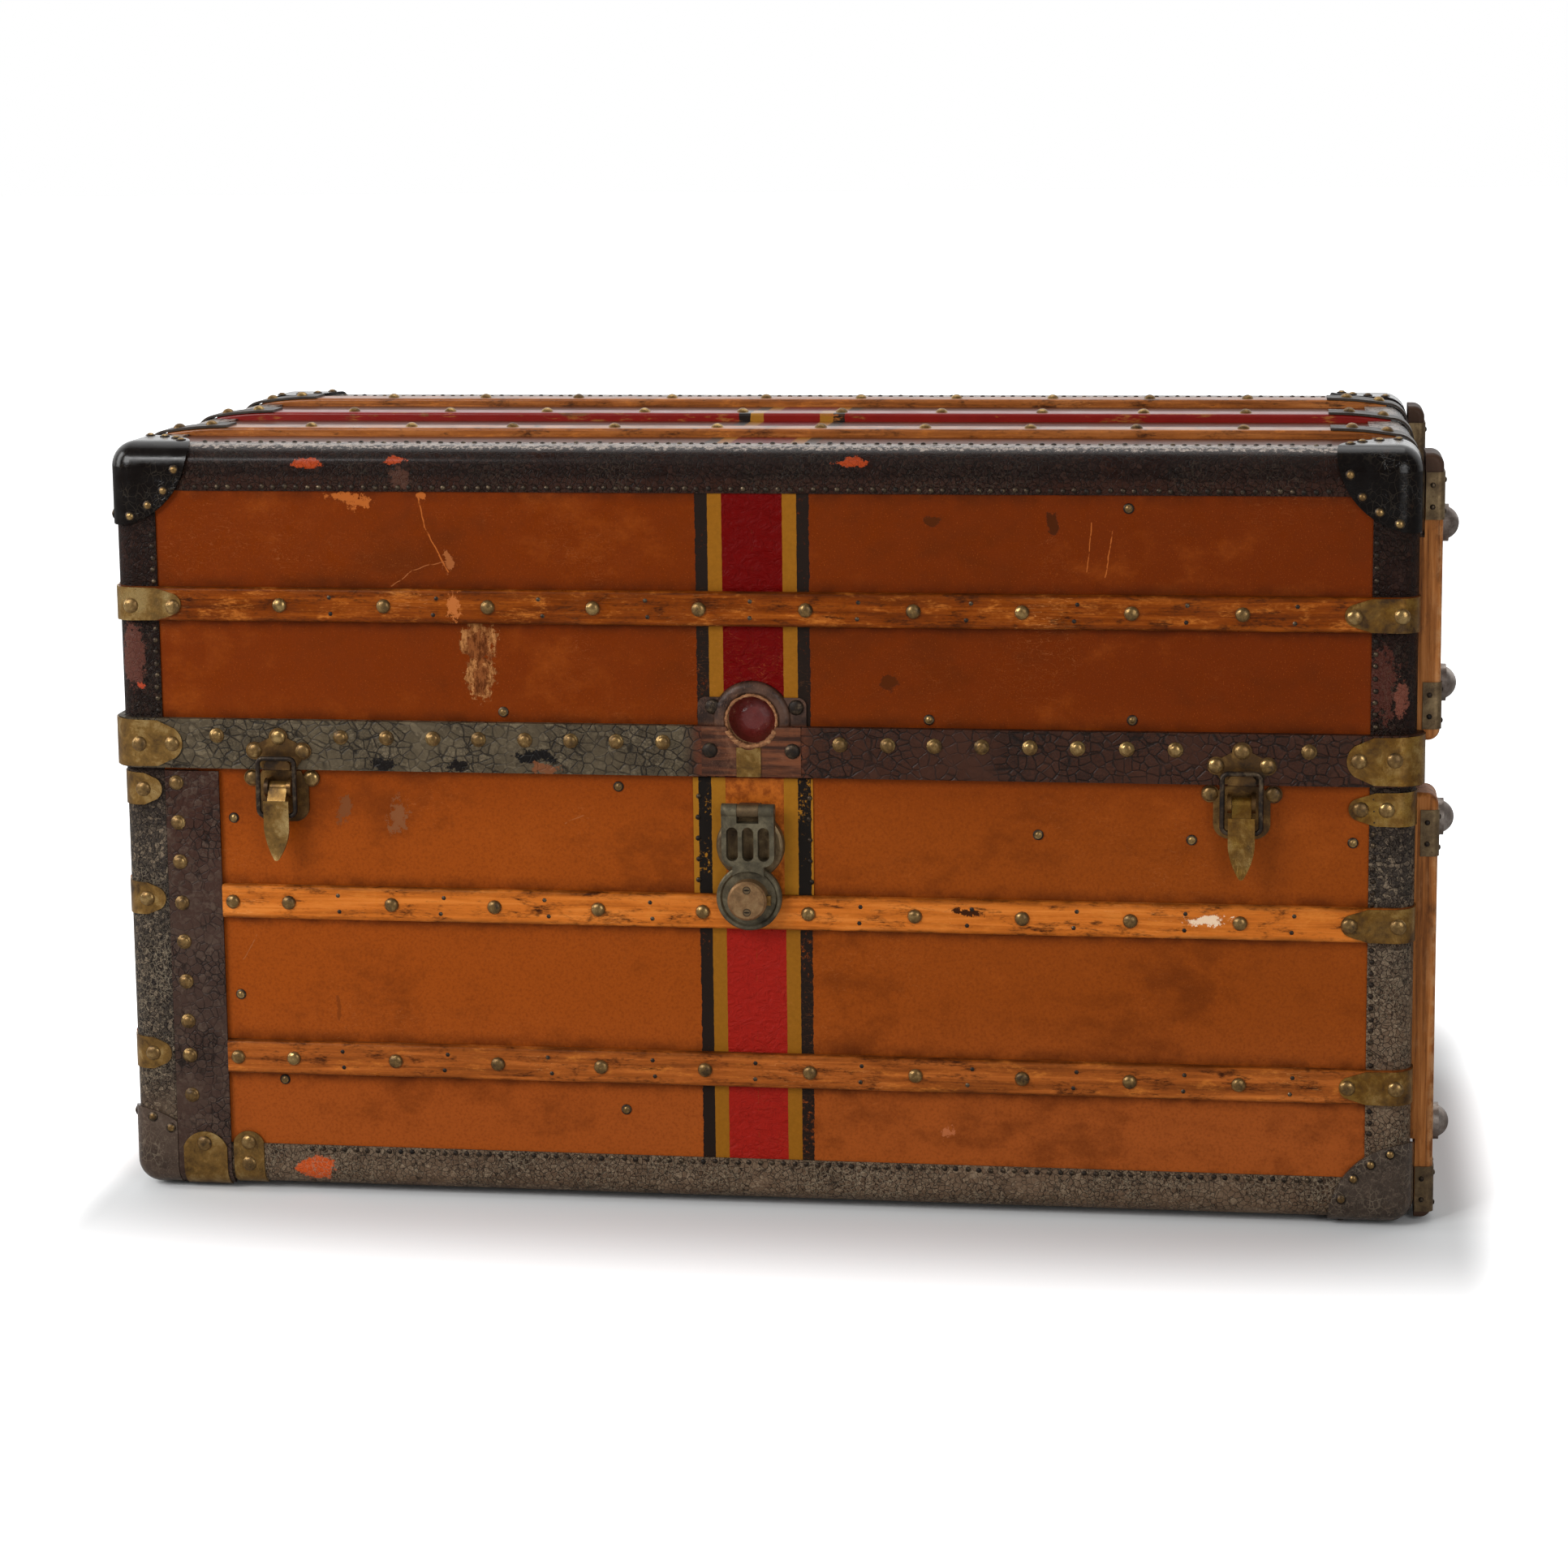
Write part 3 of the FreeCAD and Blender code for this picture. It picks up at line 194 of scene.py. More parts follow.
# Effects shared by several finishes
def make_stains():
    tree, take, give = group(
        "stains",
        [("Color", "c", (0.5, 0.5, 0.5, 1)), ("Dark", "c", (0.1, 0.1, 0.1, 1)),
         ("Light", "c", (0.8, 0.8, 0.8, 1)), ("Scale", "f", 6.0), ("Amount", "f", 0.5),
         ("Stretch", "v", EVEN)],
        [("Color", "c")],
    )
    place = vec("MULTIPLY", here(tree), take["Stretch"])
    wide = noise(place, take["Scale"], 5.0, 0.6, 0.4)
    fine = noise(place, times(take["Scale"], 7.3), 4.0, 0.65)
    both = shares(wide, 0.65, fine)
    dark = times(smooth(both, 0.5, 0.68), take["Amount"], True)
    light = times(smooth(both, 0.48, 0.32), take["Amount"], True)
    colour = mix(dark, take["Color"], take["Dark"])
    tree.links.new(mix(times(light, 0.6), colour, take["Light"]), give["Color"])
    return tree


def make_crackle():
    """Network of dried-out cracks: the mask is 1 in a crack, the height falls there."""
    tree, take, give = group(
        "crackle",
        [("Scale", "f", 200.0), ("Width", "f", 0.08), ("Stretch", "v", EVEN), ("Cover", "f", 0.6)],
        [("Mask", "f"), ("Height", "f"), ("Cell", "f")],
    )
    place = vec("MULTIPLY", here(tree), take["Stretch"])
    wobble = put(tree, "TexNoise", {"Vector": place, "Scale": times(take["Scale"], 0.5)}).outputs["Color"]
    moved = vec("ADD", place, vec("MULTIPLY", wobble, (0.006, 0.006, 0.006)))
    cells = {"Vector": moved, "Scale": take["Scale"]}
    edge = put(tree, "TexVoronoi", cells, feature="DISTANCE_TO_EDGE").outputs["Distance"]
    cell = put(tree, "TexVoronoi", cells, feature="F1").outputs["Color"]
    patchy = noise(here(tree), 22.0, 4.0, 0.6)
    over = smooth(calc("ADD", patchy, take["Cover"]), 0.85, 1.15)
    mask = times(smooth(edge, take["Width"], 0.0), over, True)
    tree.links.new(mask, give["Mask"])
    tree.links.new(calc("SUBTRACT", 1.0, mask), give["Height"])
    tree.links.new(put(tree, "SeparateColor", {0: cell}).outputs[0], give["Cell"])
    return tree


def make_scuffs():
    """Thin scratches that run mostly one way."""
    tree, take, give = group(
        "scuffs",
        [("Stretch", "v", (8, 60, 60)), ("Scale", "f", 10.0), ("Amount", "f", 0.5)],
        [("Mask", "f")],
    )
    place = vec("MULTIPLY", here(tree), take["Stretch"])
    thin = smooth(apart(noise(place, take["Scale"], 2.0, 0.5, 0.8), 0.5), 0.012, 0.0)
    keep = smooth(noise(here(tree), 9.0, 3.0, 0.6), 0.5, 0.72)
    tree.links.new(times(times(thin, keep), take["Amount"], True), give["Mask"])
    return tree


def make_blot():
    """Ragged mark of a given size round a given place."""
    tree, take, give = group(
        "blot",
        [("Centre", "v", (0, 0, 0)), ("Size", "v", (0.01, 0.05, 0.01)), ("Ragged", "f", 0.5),
         ("Scale", "f", 170.0), ("Soft", "f", 0.12), ("Sway", "v", (0.012, 0.0, 0.012))],
        [("Mask", "f")],
    )
    centred = vec("SUBTRACT", drift(tree, 46.0), (0.5, 0.5, 0.5))
    place = vec("ADD", here(tree), vec("MULTIPLY", centred, take["Sway"]))
    reach = measure("LENGTH", vec("DIVIDE", vec("SUBTRACT", place, take["Centre"]), take["Size"]))
    rough = calc("SUBTRACT", noise(here(tree), take["Scale"], 6.0, 0.75), 0.5)
    ragged = calc("ADD", reach, times(rough, times(take["Ragged"], 3.0)))
    tree.links.new(smooth(ragged, 1.0, calc("SUBTRACT", 1.0, take["Soft"])), give["Mask"])
    return tree


def make_fine():
    """Small unevenness of a surface, as a height."""
    tree, take, give = group("fine_height", [("Scale", "f", 300.0)], [("Height", "f")])
    one = noise(here(tree), take["Scale"], 3.0, 0.6)
    two = noise(here(tree), times(take["Scale"], 0.13), 3.0, 0.5)
    tree.links.new(shares(one, 0.5, two), give["Height"])
    return tree


def make_band():
    """1 between two values and 0 outside, with a slightly rough edge."""
    tree, take, give = group(
        "stripe_band",
        [("Value", "f", 0.0), ("Low", "f", 0.0), ("High", "f", 1.0), ("Rough", "f", 0.001)],
        [("Mask", "f")],
    )
    wander = times(calc("SUBTRACT", noise(here(tree), 160.0, 5.0, 0.7), 0.5), take["Rough"])
    value = calc("ADD", take["Value"], wander)
    above = calc("GREATER_THAN", value, take["Low"])
    below = calc("LESS_THAN", value, take["High"])
    tree.links.new(times(above, below), give["Mask"])
    return tree


def make_scratch():
    """Thin broken line between two places."""
    tree, take, give = group(
        "scratch_line",
        [("From", "v", (0, 0, 0)), ("To", "v", (0, 0, 1)), ("Width", "f", 0.001)],
        [("Mask", "f")],
    )
    place = vec("ADD", here(tree), vec("MULTIPLY", drift(tree, 60.0), (0.004, 0.0, 0.004)))
    along = vec("SUBTRACT", take["To"], take["From"])
    away = vec("SUBTRACT", place, take["From"])
    share = calc("DIVIDE", measure("DOT_PRODUCT", away, along), measure("DOT_PRODUCT", along, along), True)
    lit_foot = put(tree, "VectorMath", {0: along, "Scale": share}, operation="SCALE").outputs[0]
    rough = calc("SUBTRACT", noise(here(tree), 420.0, 4.0, 0.7), 0.5)
    gap = calc("ADD", measure("DISTANCE", away, lit_foot), times(rough, take["Width"]))
    line = smooth(gap, take["Width"], times(take["Width"], 0.5))
    broken = smooth(noise(here(tree), 150.0, 3.0, 0.6), 0.36, 0.5)
    tree.links.new(times(line, broken), give["Mask"])
    return tree


STAINS = make_stains()
CRACKLE = make_crackle()
SCUFFS = make_scuffs()
BLOT = make_blot()
FINE = make_fine()
BAND = make_band()
SCRATCH = make_scratch()


class Finish:
    """One material: its tree, its shader, the place on the object and the effects laid on it."""

    def __init__(self, name, **fixed):
        self.material = bpy.data.materials.new(name)
        self.material.use_nodes = True
        self.tree = self.material.node_tree
        self.shader = self.tree.nodes["Principled BSDF"]
        for key, value in fixed.items():
            self.shader.inputs[key.replace("_", " ")].default_value = value
        self.place = here(self.tree)
        self.x, self.y, self.z = put(self.tree, "SeparateXYZ", {0: self.place}).outputs

    def feed(self, key, socket):
        self.tree.links.new(socket, self.shader.inputs[key])

    def done(self, colour, normal):
        self.feed("Base Color", colour)
        self.feed("Normal", normal)
        return self.material

    def noise(self, *shape):
        return noise(self.place, *shape)

    def drawn(self, stretch, *shape):
        """Noise that is longer one way than another."""
        stretched = put(self.tree, "Mapping", {"Vector": self.place, "Scale": stretch})
        return noise(stretched.outputs["Vector"], *shape)

    def waves(self, axis, scale, distortion=0.0):
        inputs = {"Vector": self.place, "Scale": scale, "Distortion": distortion}
        return put(self.tree, "TexWave", inputs, bands_direction=axis).outputs["Fac"]

    def off_level(self, z):
        """Distance above or below a level given in millimetres."""
        return apart(self.z, (z + SHIFT.z) / 1000.0)

    def tones(self, one, other, *shape):
        return mix(self.noise(*shape), one, other)

    def rough(self, low, high, *shape):
        self.feed("Roughness", ramp(self.noise(*shape), [(0.3, low), (0.7, high)]))

    def stained(self, colour, dark, light, scale, amount, stretch=EVEN):
        inputs = {"Color": colour, "Dark": dark, "Light": light, "Scale": scale, "Amount": amount}
        return use(self.tree, STAINS, dict(inputs, Stretch=stretch))["Color"]

    def crackle(self, scale, width, stretch, cover):
        return use(self.tree, CRACKLE, {"Scale": scale, "Width": width, "Stretch": stretch, "Cover": cover})

    def scuffs(self, stretch, scale, amount):
        return use(self.tree, SCUFFS, {"Stretch": stretch, "Scale": scale, "Amount": amount})["Mask"]

    def band(self, value, low, high, rough):
        return use(self.tree, BAND, {"Value": value, "Low": low, "High": high, "Rough": rough})["Mask"]

    def fine(self, scale):
        return use(self.tree, FINE, {"Scale": scale})["Height"]

    def bump(self, height, strength, distance=0.001, before=None):
        inputs = {"Height": height, "Strength": strength, "Distance": distance}
        if before is not None:
            inputs["Normal"] = before
        return put(self.tree, "Bump", inputs).outputs["Normal"]

    def blots(self, colour, y, deep, marks):
        """Lays ragged marks on the front at y; each is its place (x, z), its size both ways, its colour and
        how ragged it is. Gives the colour and all marks together."""
        masks = []
        for (x, z), (wide, high), shade, ragged in marks:
            size = Vector((wide, deep, high)) / 1000.0
            inputs = {"Centre": spot(x, y, z), "Size": size, "Ragged": ragged}
            masks.append(use(self.tree, BLOT, inputs)["Mask"])
            colour = mix(masks[-1], colour, shade)
        return colour, any_of(masks)

    def scratches(self, colour, lines):
        """Draws thin lines on the front from one (x, z) place to the next in their own colours."""
        for width, shade, *points in lines:
            ends = [spot(x, -FACE, z) for x, z in points]
            for start, end in zip(ends, ends[1:]):
                inputs = {"From": start, "To": end, "Width": width / 1000.0}
                colour = mix(use(self.tree, SCRATCH, inputs)["Mask"], colour, shade)
        return colour


def coated_canvas():
    f = Finish("coated_canvas", Specular_IOR_Level=0.06, Coat_Roughness=0.3)
    # Painted light and shade: the lid is painted darker as the light falls off upwards, the top darker
    # still, and the foot lighter where more light falls on it; the colour also turns slightly darker
    # towards the right.
    high = smooth(f.z, 0.30, 0.46)
    across = smooth(f.x, -0.3, 0.4)
    lower = mix(across, (146, 67, 12), (134, 62, 11))
    shaded_upper = mix(across, (109, 41, 1), (102, 37, 1))
    lit_foot = mix(across, (150, 72, 22), (152, 76, 28))
    lower = mix(smooth(f.z, 0.20, 0.06), lower, lit_foot)
    shaded_upper = mix(smooth(f.z, *TOP_TURN), shaded_upper, (84, 33, 4))
    base = mix(high, lower, shaded_upper)
    stain = f.stained(base, (80, 32, 4), (160, 78, 20), 5.0, 0.55, (1.0, 1.0, 1.4))
    mottle = f.noise(420.0, 4.0, 0.7)
    colour = mix(smooth(mottle, 0.42, 0.7, 0.0, 0.36), stain, (92, 36, 4))
    specks = f.noise(900.0, 2.0, 0.6)
    colour = mix(smooth(specks, 0.6, 0.75, 0.0, 0.4), colour, (172, 86, 28))
    # grime and painted shade along the slats, the valance and the edging
    levels = [(z, SLAT_HALF) for z in (LID_SLAT,) + SLAT_LEVELS] + [(396.0, 18.0), (HEIGHT, 38.0)]
    near = any_of([smooth(f.off_level(z), (reach + 13.0) / 1000.0, reach / 1000.0) for z, reach in levels])
    grime_and_shade = smooth(f.noise(36.0, 5.0, 0.65), 0.36, 0.62, 0.1, 0.58)
    colour = mix(times(near, grime_and_shade), colour, (66, 25, 3))
    # painted stripe over front, top and back
    away = apart(f.x, STRIPE_MID)
    worn = f.noise(300.0, 5.0, 0.75)
    black = f.band(away, 0.0, BLACK_HALF, 0.004)
    rubbed = smooth(calc("ADD", worn, times(f.noise(14.0), 0.5)), 1.0, 0.86)
    colour = mix(times(black, rubbed), colour, (34, 25, 20))
    yellow = f.band(away, 0.0, GOLD_HALF, 0.0012)
    colour = mix(yellow, colour, mix(worn, (120, 74, 12), (152, 98, 24)))
    red = f.band(away, 0.0, RED_HALF, 0.0012)
    # the stripe's red is painted darker on the lid as the same painted shade
    red_paint = mix(high, (148, 27, 18), (98, 1, 0))
    red_paint = mix(smooth(worn, 0.5, 0.8, 0.0, 0.4), red_paint, (90, 6, 3))
    colour = mix(red, colour, red_paint)
    scratch = f.scuffs((30, 30, 70), 3.0, 0.22)
    colour = mix(scratch, colour, (190, 116, 62))
    old = (166, 88, 34)
    pale = (148, 84, 42)
    strands = f.drawn((260.0, 260.0, 90.0), 1.0, 5.0, 0.8)
    bed = mix(smooth(strands, 0.4, 0.6), (78, 36, 10), (128, 72, 34))
    fibre = mix(smooth(strands, 0.4, 0.62), (106, 57, 22), (172, 116, 66))
    colour, marks = f.blots(colour, -FACE, 20, [
        ((-234, 483), (17, 17), fibre, 0.7),
        ((-233, 452), (12, 22), fibre, 0.8),
        ((-233, 477), (11, 15), bed, 0.9),
        ((-233, 451), (7, 16), bed, 1.0),
        ((-345, 604), (15, 3.5), old, 1.5),
        ((-336, 600), (10, 4.0), old, 1.8),
        ((-280, 607), (5, 3), old, 1.2),
        ((-257, 550), (4, 7), pale, 1.8),
        ((251, 585), (5, 9), (70, 30, 6), 0.9),
        ((152, 586), (7, 4), (76, 33, 6), 0.9),
        ((115, 452), (7, 7), (78, 33, 5), 1.0),
        ((-355, 337), (6, 12), (116, 66, 34), 1.5),
        ((-308, 331), (8, 14), (124, 74, 42), 1.6),
        ((162, 66), (4, 5), (170, 96, 56), 1.6),
        ((-364, 160), (2, 12), (122, 56, 12), 1.2),
    ])
    colour = f.scratches(colour, [
        (0.75, old, (-280, 611), (-276, 582), (-266, 563), (-256, 544)),
        (0.5, pale, (-305, 531), (-287, 545), (-257, 554)),
        (0.6, old, (303, 582), (297, 544)),
        (0.5, old, (286, 589), (282, 548)),
        (0.6, pale, (-160, 329), (-144, 337)),
        (0.6, pale, (-446, 204), (-433, 226)),
    ])
    f.rough(0.34, 0.55, 60.0, 5.0, 0.6)
    f.feed("Coat Weight", smooth(f.z, *TOP_TURN, 0.0, 0.5))
    weave = f.fine(520.0)
    normal = f.bump(weave, 0.22, 0.0006)
    ripple = f.drawn((26.0, 26.0, 60.0), 1.0, 2.0, 0.5, 1.2)
    corner = times(smooth(f.x, 0.05, 0.45), smooth(f.z, 0.34, 0.16))
    normal = f.bump(times(ripple, corner), 0.35, 0.003, normal)
    crumple = f.drawn((90.0, 90.0, 120.0), 1.0, 3.0, 0.6, 1.5)
    normal = f.bump(times(crumple, red), 0.8, 0.004, normal)
    normal = f.bump(calc("SUBTRACT", 1.0, marks), 0.4, 0.0006, normal)
    return f.done(colour, normal)


def cracked_leather(
    name, shades, scale, stretch, cover, crack_shade, gloss,
    rub=None, dark=(18, 11, 8), flakes=0.38, shine=0.16,
):
    """Dry leather: shades makes the colour and the paler colour of its flakes, cracks show a dark bed."""
    f = Finish(name, Specular_IOR_Level=shine, Coat_Roughness=0.22)
    base, pale = shades(f)
    stain = f.stained(base, dark, pale, 11.0, 0.55)
    wide = f.crackle(scale, 0.10, stretch, cover)
    fine = f.crackle(scale * 2.7, 0.14, stretch, cover - 0.1)
    flake = times(calc("ADD", wide["Cell"], fine["Cell"]), flakes)
    colour = mix(smooth(flake, 0.25, 0.9), stain, pale)
    colour = mix(times(fine["Mask"], 0.6), colour, crack_shade)
    colour = mix(times(wide["Mask"], 0.85), colour, crack_shade)
    colour = mix(smooth(f.noise(420.0, 4.0, 0.7), 0.56, 0.75, 0.0, 0.5), colour, pale)
    if rub is not None:
        colour = rub(f, colour)
    f.rough(gloss, gloss + 0.2, 70.0, 4.0, 0.6)
    f.feed("Coat Weight", smooth(f.z, 0.636, 0.652, 0.0, 0.4))
    grain = f.fine(700.0)
    normal = f.bump(grain, 0.25, 0.0006)
    normal = f.bump(fine["Height"], 0.35, 0.0006, normal)
    normal = f.bump(wide["Height"], 0.6, 0.0011, normal)
    return f.done(colour, normal)


def edging():
    def shades(f):
        low = f.tones((80, 61, 46), (114, 91, 71), 9.0)
        side = f.tones((36, 30, 26), (64, 56, 50), 9.0)
        top = f.tones((17, 6, 3), (35, 15, 9), 12.0)
        rise = calc("ADD", f.z, smooth(f.x, -0.3, 0.3, 0.16, 0.0))
        colour = mix(smooth(rise, 0.16, 0.30), low, side)
        colour = mix(smooth(f.z, 0.30, 0.40), colour, top)
        margin = smooth(apart(f.z, 0.622), 0.009, 0.004)
        colour = mix(times(margin, 0.6), colour, (56, 30, 20))
        pale = mix(smooth(f.z, 0.30, 0.40), (146, 127, 104), (58, 36, 27))
        return colour, pale

    def rub(f, colour):
        bare = (156, 56, 14)
        colour, _ = f.blots(colour, -HALF_Y, 9, [
            ((-378, 634), (14, 4.5), bare, 0.8),
            ((-301, 635), (10, 3.8), bare, 0.8),
            ((-297, 622), (9, 9), (70, 42, 31), 0.9),
            ((85, 636), (14, 3.5), bare, 0.9),
            ((-389, 18), (18, 12), (190, 78, 28), 0.5),
            ((-538, 468), (13, 30), (84, 46, 36), 0.8),
            ((-545, 502), (4, 4), (168, 58, 28), 1.2),
            ((-531, 441), (4, 3), (160, 60, 32), 1.2),
            ((522, 458), (12, 30), (70, 34, 25), 1.1),
            ((538, 444), (6, 16), (108, 60, 46), 1.3),
        ])
        net = f.crackle(250.0, 0.085, (1.0, 1.0, 0.75), 0.47)["Mask"]
        dry = smooth(f.z, 0.36, 0.24, 0.08, 0.55)
        colour = mix(times(net, dry), colour, (144, 130, 108))
        # painted reflection: the rounded top of the edging is lightened towards white in broken streaks, as
        # glints of the white backdrop
        roll_glint = times(smooth(f.z, 0.644, 0.654), f.noise(210.0, 5.0, 0.75))
        return mix(smooth(roll_glint, 0.42, 0.54, 0.0, 0.85), colour, (176, 160, 148))

    return cracked_leather(
        "edging_leather", shades, 230.0, EVEN, 0.66, (16, 10, 7), 0.26, rub, (14, 8, 6), 0.34, 0.11
    )


def valance_leather():
    def shades(f):
        left = f.tones((56, 46, 34), (92, 80, 60), 16.0)
        right = f.tones((46, 24, 15), (68, 39, 26), 16.0)
        centre = f.tones((78, 40, 24), (106, 58, 36), 20.0)
        half = smooth(f.x, -0.075, -0.055)
        colour = mix(half, left, right)
        middle = smooth(apart(f.x, SHIFT.x / 1000.0), 0.052, 0.042)
        pale = mix(half, (108, 95, 74), (66, 38, 26))
        return mix(middle, colour, centre), pale

    def rub(f, colour):
        colour, _ = f.blots(colour, -FACE - SLAT, 6, [
            ((-186, 386), (17, 6), (16, 12, 10), 1.1),
            ((-318, 377), (13, 6), (20, 14, 11), 1.2),
            ((-176, 376), (10, 5), (112, 66, 38), 1.3),
            ((-250, 377), (9, 5), (20, 14, 11), 1.3),
        ])
        return colour

    return cracked_leather("valance_leather", shades, 105.0, (1.0, 1.0, 1.2), 0.60, (18, 13, 10), 0.30, rub)


def strip_leather():
    def shades(f):
        low = f.tones((46, 31, 25), (74, 54, 45), 9.0)
        top = f.tones((40, 20, 14), (68, 41, 31), 9.0)
        return mix(smooth(f.z, 0.2, 0.36), low, top), (84, 68, 57)

    return cracked_leather(
        "strip_leather", shades, 150.0, EVEN, 0.55, (20, 12, 9), 0.3, None, (16, 10, 7), 0.36, 0.14
    )


def corner_hide():
    def shades(f):
        right = f.tones((44, 36, 30), (76, 63, 53), 14.0)
        left = f.tones((48, 37, 30), (80, 64, 53), 14.0)
        low = mix(smooth(f.x, -0.2, 0.2), left, right)
        top = f.tones((6, 3, 2), (14, 8, 6), 14.0)
        colour = mix(smooth(f.z, 0.2, 0.4), low, top)
        scuff = smooth(f.noise(48.0, 5.0, 0.7), 0.58, 0.72, 0.0, 0.5)
        pale = mix(smooth(f.z, 0.2, 0.4), (108, 92, 78), (12, 7, 5))
        return mix(times(scuff, smooth(f.x, 0.1, 0.3)), colour, (60, 40, 28)), pale

    def rub(f, colour):
        net = f.crackle(180.0, 0.07, (1.0, 1.0, 0.8), 0.44)["Mask"]
        lines = f.scuffs((30, 30, 60), 5.0, 0.8)
        worn = times(calc("MAXIMUM", net, lines), smooth(f.z, 0.40, 0.2, 0.08, 0.45))
        return mix(worn, colour, (150, 134, 112))

    return cracked_leather(
        "corner_hide", shades, 260.0, EVEN, 0.30, (8, 6, 5), 0.08, rub, (7, 5, 4), 0.3, 0.24
    )


def slat_wood(name, lengthwise, painted=False):
    f = Finish(name, Specular_IOR_Level=0.08, Coat_Roughness=0.28)
    grain = f.drawn(lengthwise, 3.2, 6.0, 0.65, 0.5)
    even = ramp(grain, [(0.3, (100, 49, 14)), (0.5, (146, 75, 24)), (0.72, (182, 100, 40))])
    bright = ramp(grain, [(0.3, (154, 79, 20)), (0.5, (190, 102, 31)), (0.72, (214, 127, 52))])
    amber = ramp(grain, [(0.3, (82, 33, 2)), (0.5, (118, 52, 4)), (0.7, (150, 75, 14))])
    base = mix(smooth(f.z, 0.16, 0.22), even, bright)
    base = mix(smooth(f.z, 0.40, 0.46), base, amber)
    tanned = ramp(grain, [(0.3, (100, 52, 16)), (0.5, (150, 84, 32)), (0.72, (186, 116, 58))])
    base = mix(smooth(f.z, 0.56, 0.62), base, tanned)
    stain = f.stained(base, (52, 22, 5), (206, 122, 46), 17.0, 1.0, (1.6, 1.6, 5.0))
    blotch = smooth(f.drawn((26.0, 26.0, 110.0), 1.0, 6.0, 0.75), 0.57, 0.7, 0.0, 0.85)
    colour = mix(blotch, stain, (36, 15, 4))
    # darker along the upper and lower edges of each slat
    gaps = [f.off_level(level) for level in (LID_SLAT,) + SLAT_LEVELS]
    rim = any_of([times(smooth(gap, 0.009, 0.0145), calc("LESS_THAN", gap, 0.02)) for gap in gaps])
    edge_darkening = smooth(f.drawn((18.0, 18.0, 60.0), 1.0, 5.0, 0.7), 0.36, 0.62, 0.1, 0.72)
    colour = mix(times(rim, edge_darkening), colour, (58, 24, 5))
    streak = f.scuffs((5, 60, 60), 6.0, 0.6)
    colour = mix(streak, colour, (220, 150, 84))
    colour, _ = f.blots(colour, -FACE - SLAT, 5, [
        ((180, 258), (11, 2.5), (58, 27, 8), 1.9),
        ((380, 257), (15, 4), (226, 196, 164), 1.9),
        ((-252, 513), (5, 11), (172, 98, 46), 2.0),
    ])
    if painted:
        middle = apart(f.y, SHIFT.y / 1000.0)
        on_slat = calc("LESS_THAN", middle, 0.02)
        coat = smooth(f.drawn((22.0, 90.0, 90.0), 1.0, 5.0, 0.7), 0.66, 0.58)
        paint = f.tones((116, 13, 8), (140, 25, 15), 60.0)
        away = apart(f.x, STRIPE_MID)
        dark = f.band(away, GOLD_HALF, BLACK_HALF, 0.003)
        gold = f.band(away, RED_HALF, GOLD_HALF, 0.002)
        paint = mix(dark, paint, (30, 22, 18))
        paint = mix(gold, paint, (160, 108, 30))
        colour = mix(times(on_slat, coat), colour, paint)
    f.rough(0.26, 0.48, 45.0, 4.0, 0.6)
    f.feed("Coat Weight", smooth(f.z, 0.640, 0.655, 0.0, 0.6))
    normal = f.bump(grain, 0.3, 0.0008)
    dents = f.drawn((40.0, 90.0, 90.0), 1.0, 4.0, 0.6)
    normal = f.bump(dents, 0.35, 0.0014, normal)
    return f.done(colour, normal)


def batten_wood():
    f = Finish("batten_wood", Specular_IOR_Level=0.14)
    grain = f.drawn((70.0, 70.0, 2.4), 3.0, 6.0, 0.65, 0.5)
    base = ramp(grain, [(0.3, (78, 40, 14)), (0.5, (150, 89, 38)), (0.72, (188, 123, 66))])
    stain = f.stained(base, (44, 24, 12), (170, 118, 72), 13.0, 0.7, (3.0, 3.0, 1.2))
    edge = smooth(f.x, 0.549, 0.556)
    rub = times(edge, smooth(f.noise(70.0, 5.0, 0.7), 0.42, 0.62, 0.0, 0.65))
    colour = mix(rub, stain, (186, 138, 92))
    ends = calc("MAXIMUM", smooth(f.z, 0.606, 0.616), smooth(f.z, 0.024, 0.014))
    colour = mix(ends, colour, (66, 46, 34))
    f.rough(0.4, 0.62, 45.0)
    normal = f.bump(grain, 0.35, 0.0009)
    return f.done(colour, f.bump(f.noise(60.0, 4.0, 0.6), 0.3, 0.0015, normal))


def metal(name, dull, mid, bright, rough, tarnish=0.6, scale=60.0, recolour=None):
    """Old metal: rubbed bright parts, brown skin in the hollows, fine scratches; recolour adds more."""
    f = Finish(name)
    skin = f.noise(scale, 6.0, 0.7, 0.3)
    wide = f.noise(scale * 0.28, 3.0, 0.6)
    both = shares(skin, 0.6, wide)
    colour = ramp(both, [(0.38, dull), (0.5, mid), (0.62, bright)])
    lines = f.scuffs((60, 60, 18), 8.0, 0.7)
    colour = mix(lines, colour, bright)
    spots = smooth(f.noise(scale * 5.0, 4.0, 0.7), 0.6, 0.74, 0.0, tarnish)
    colour = mix(spots, colour, dull)
    if recolour is not None:
        colour = recolour(f, colour)
    f.feed("Roughness", ramp(both, [(0.38, rough + 0.2), (0.62, rough)]))
    f.feed("Metallic", ramp(both, [(0.38, 0.55), (0.62, 0.9)]))
    normal = f.bump(f.fine(260.0), 0.25, 0.0008)
    return f.done(colour, f.bump(lines, 0.2, 0.0004, normal))


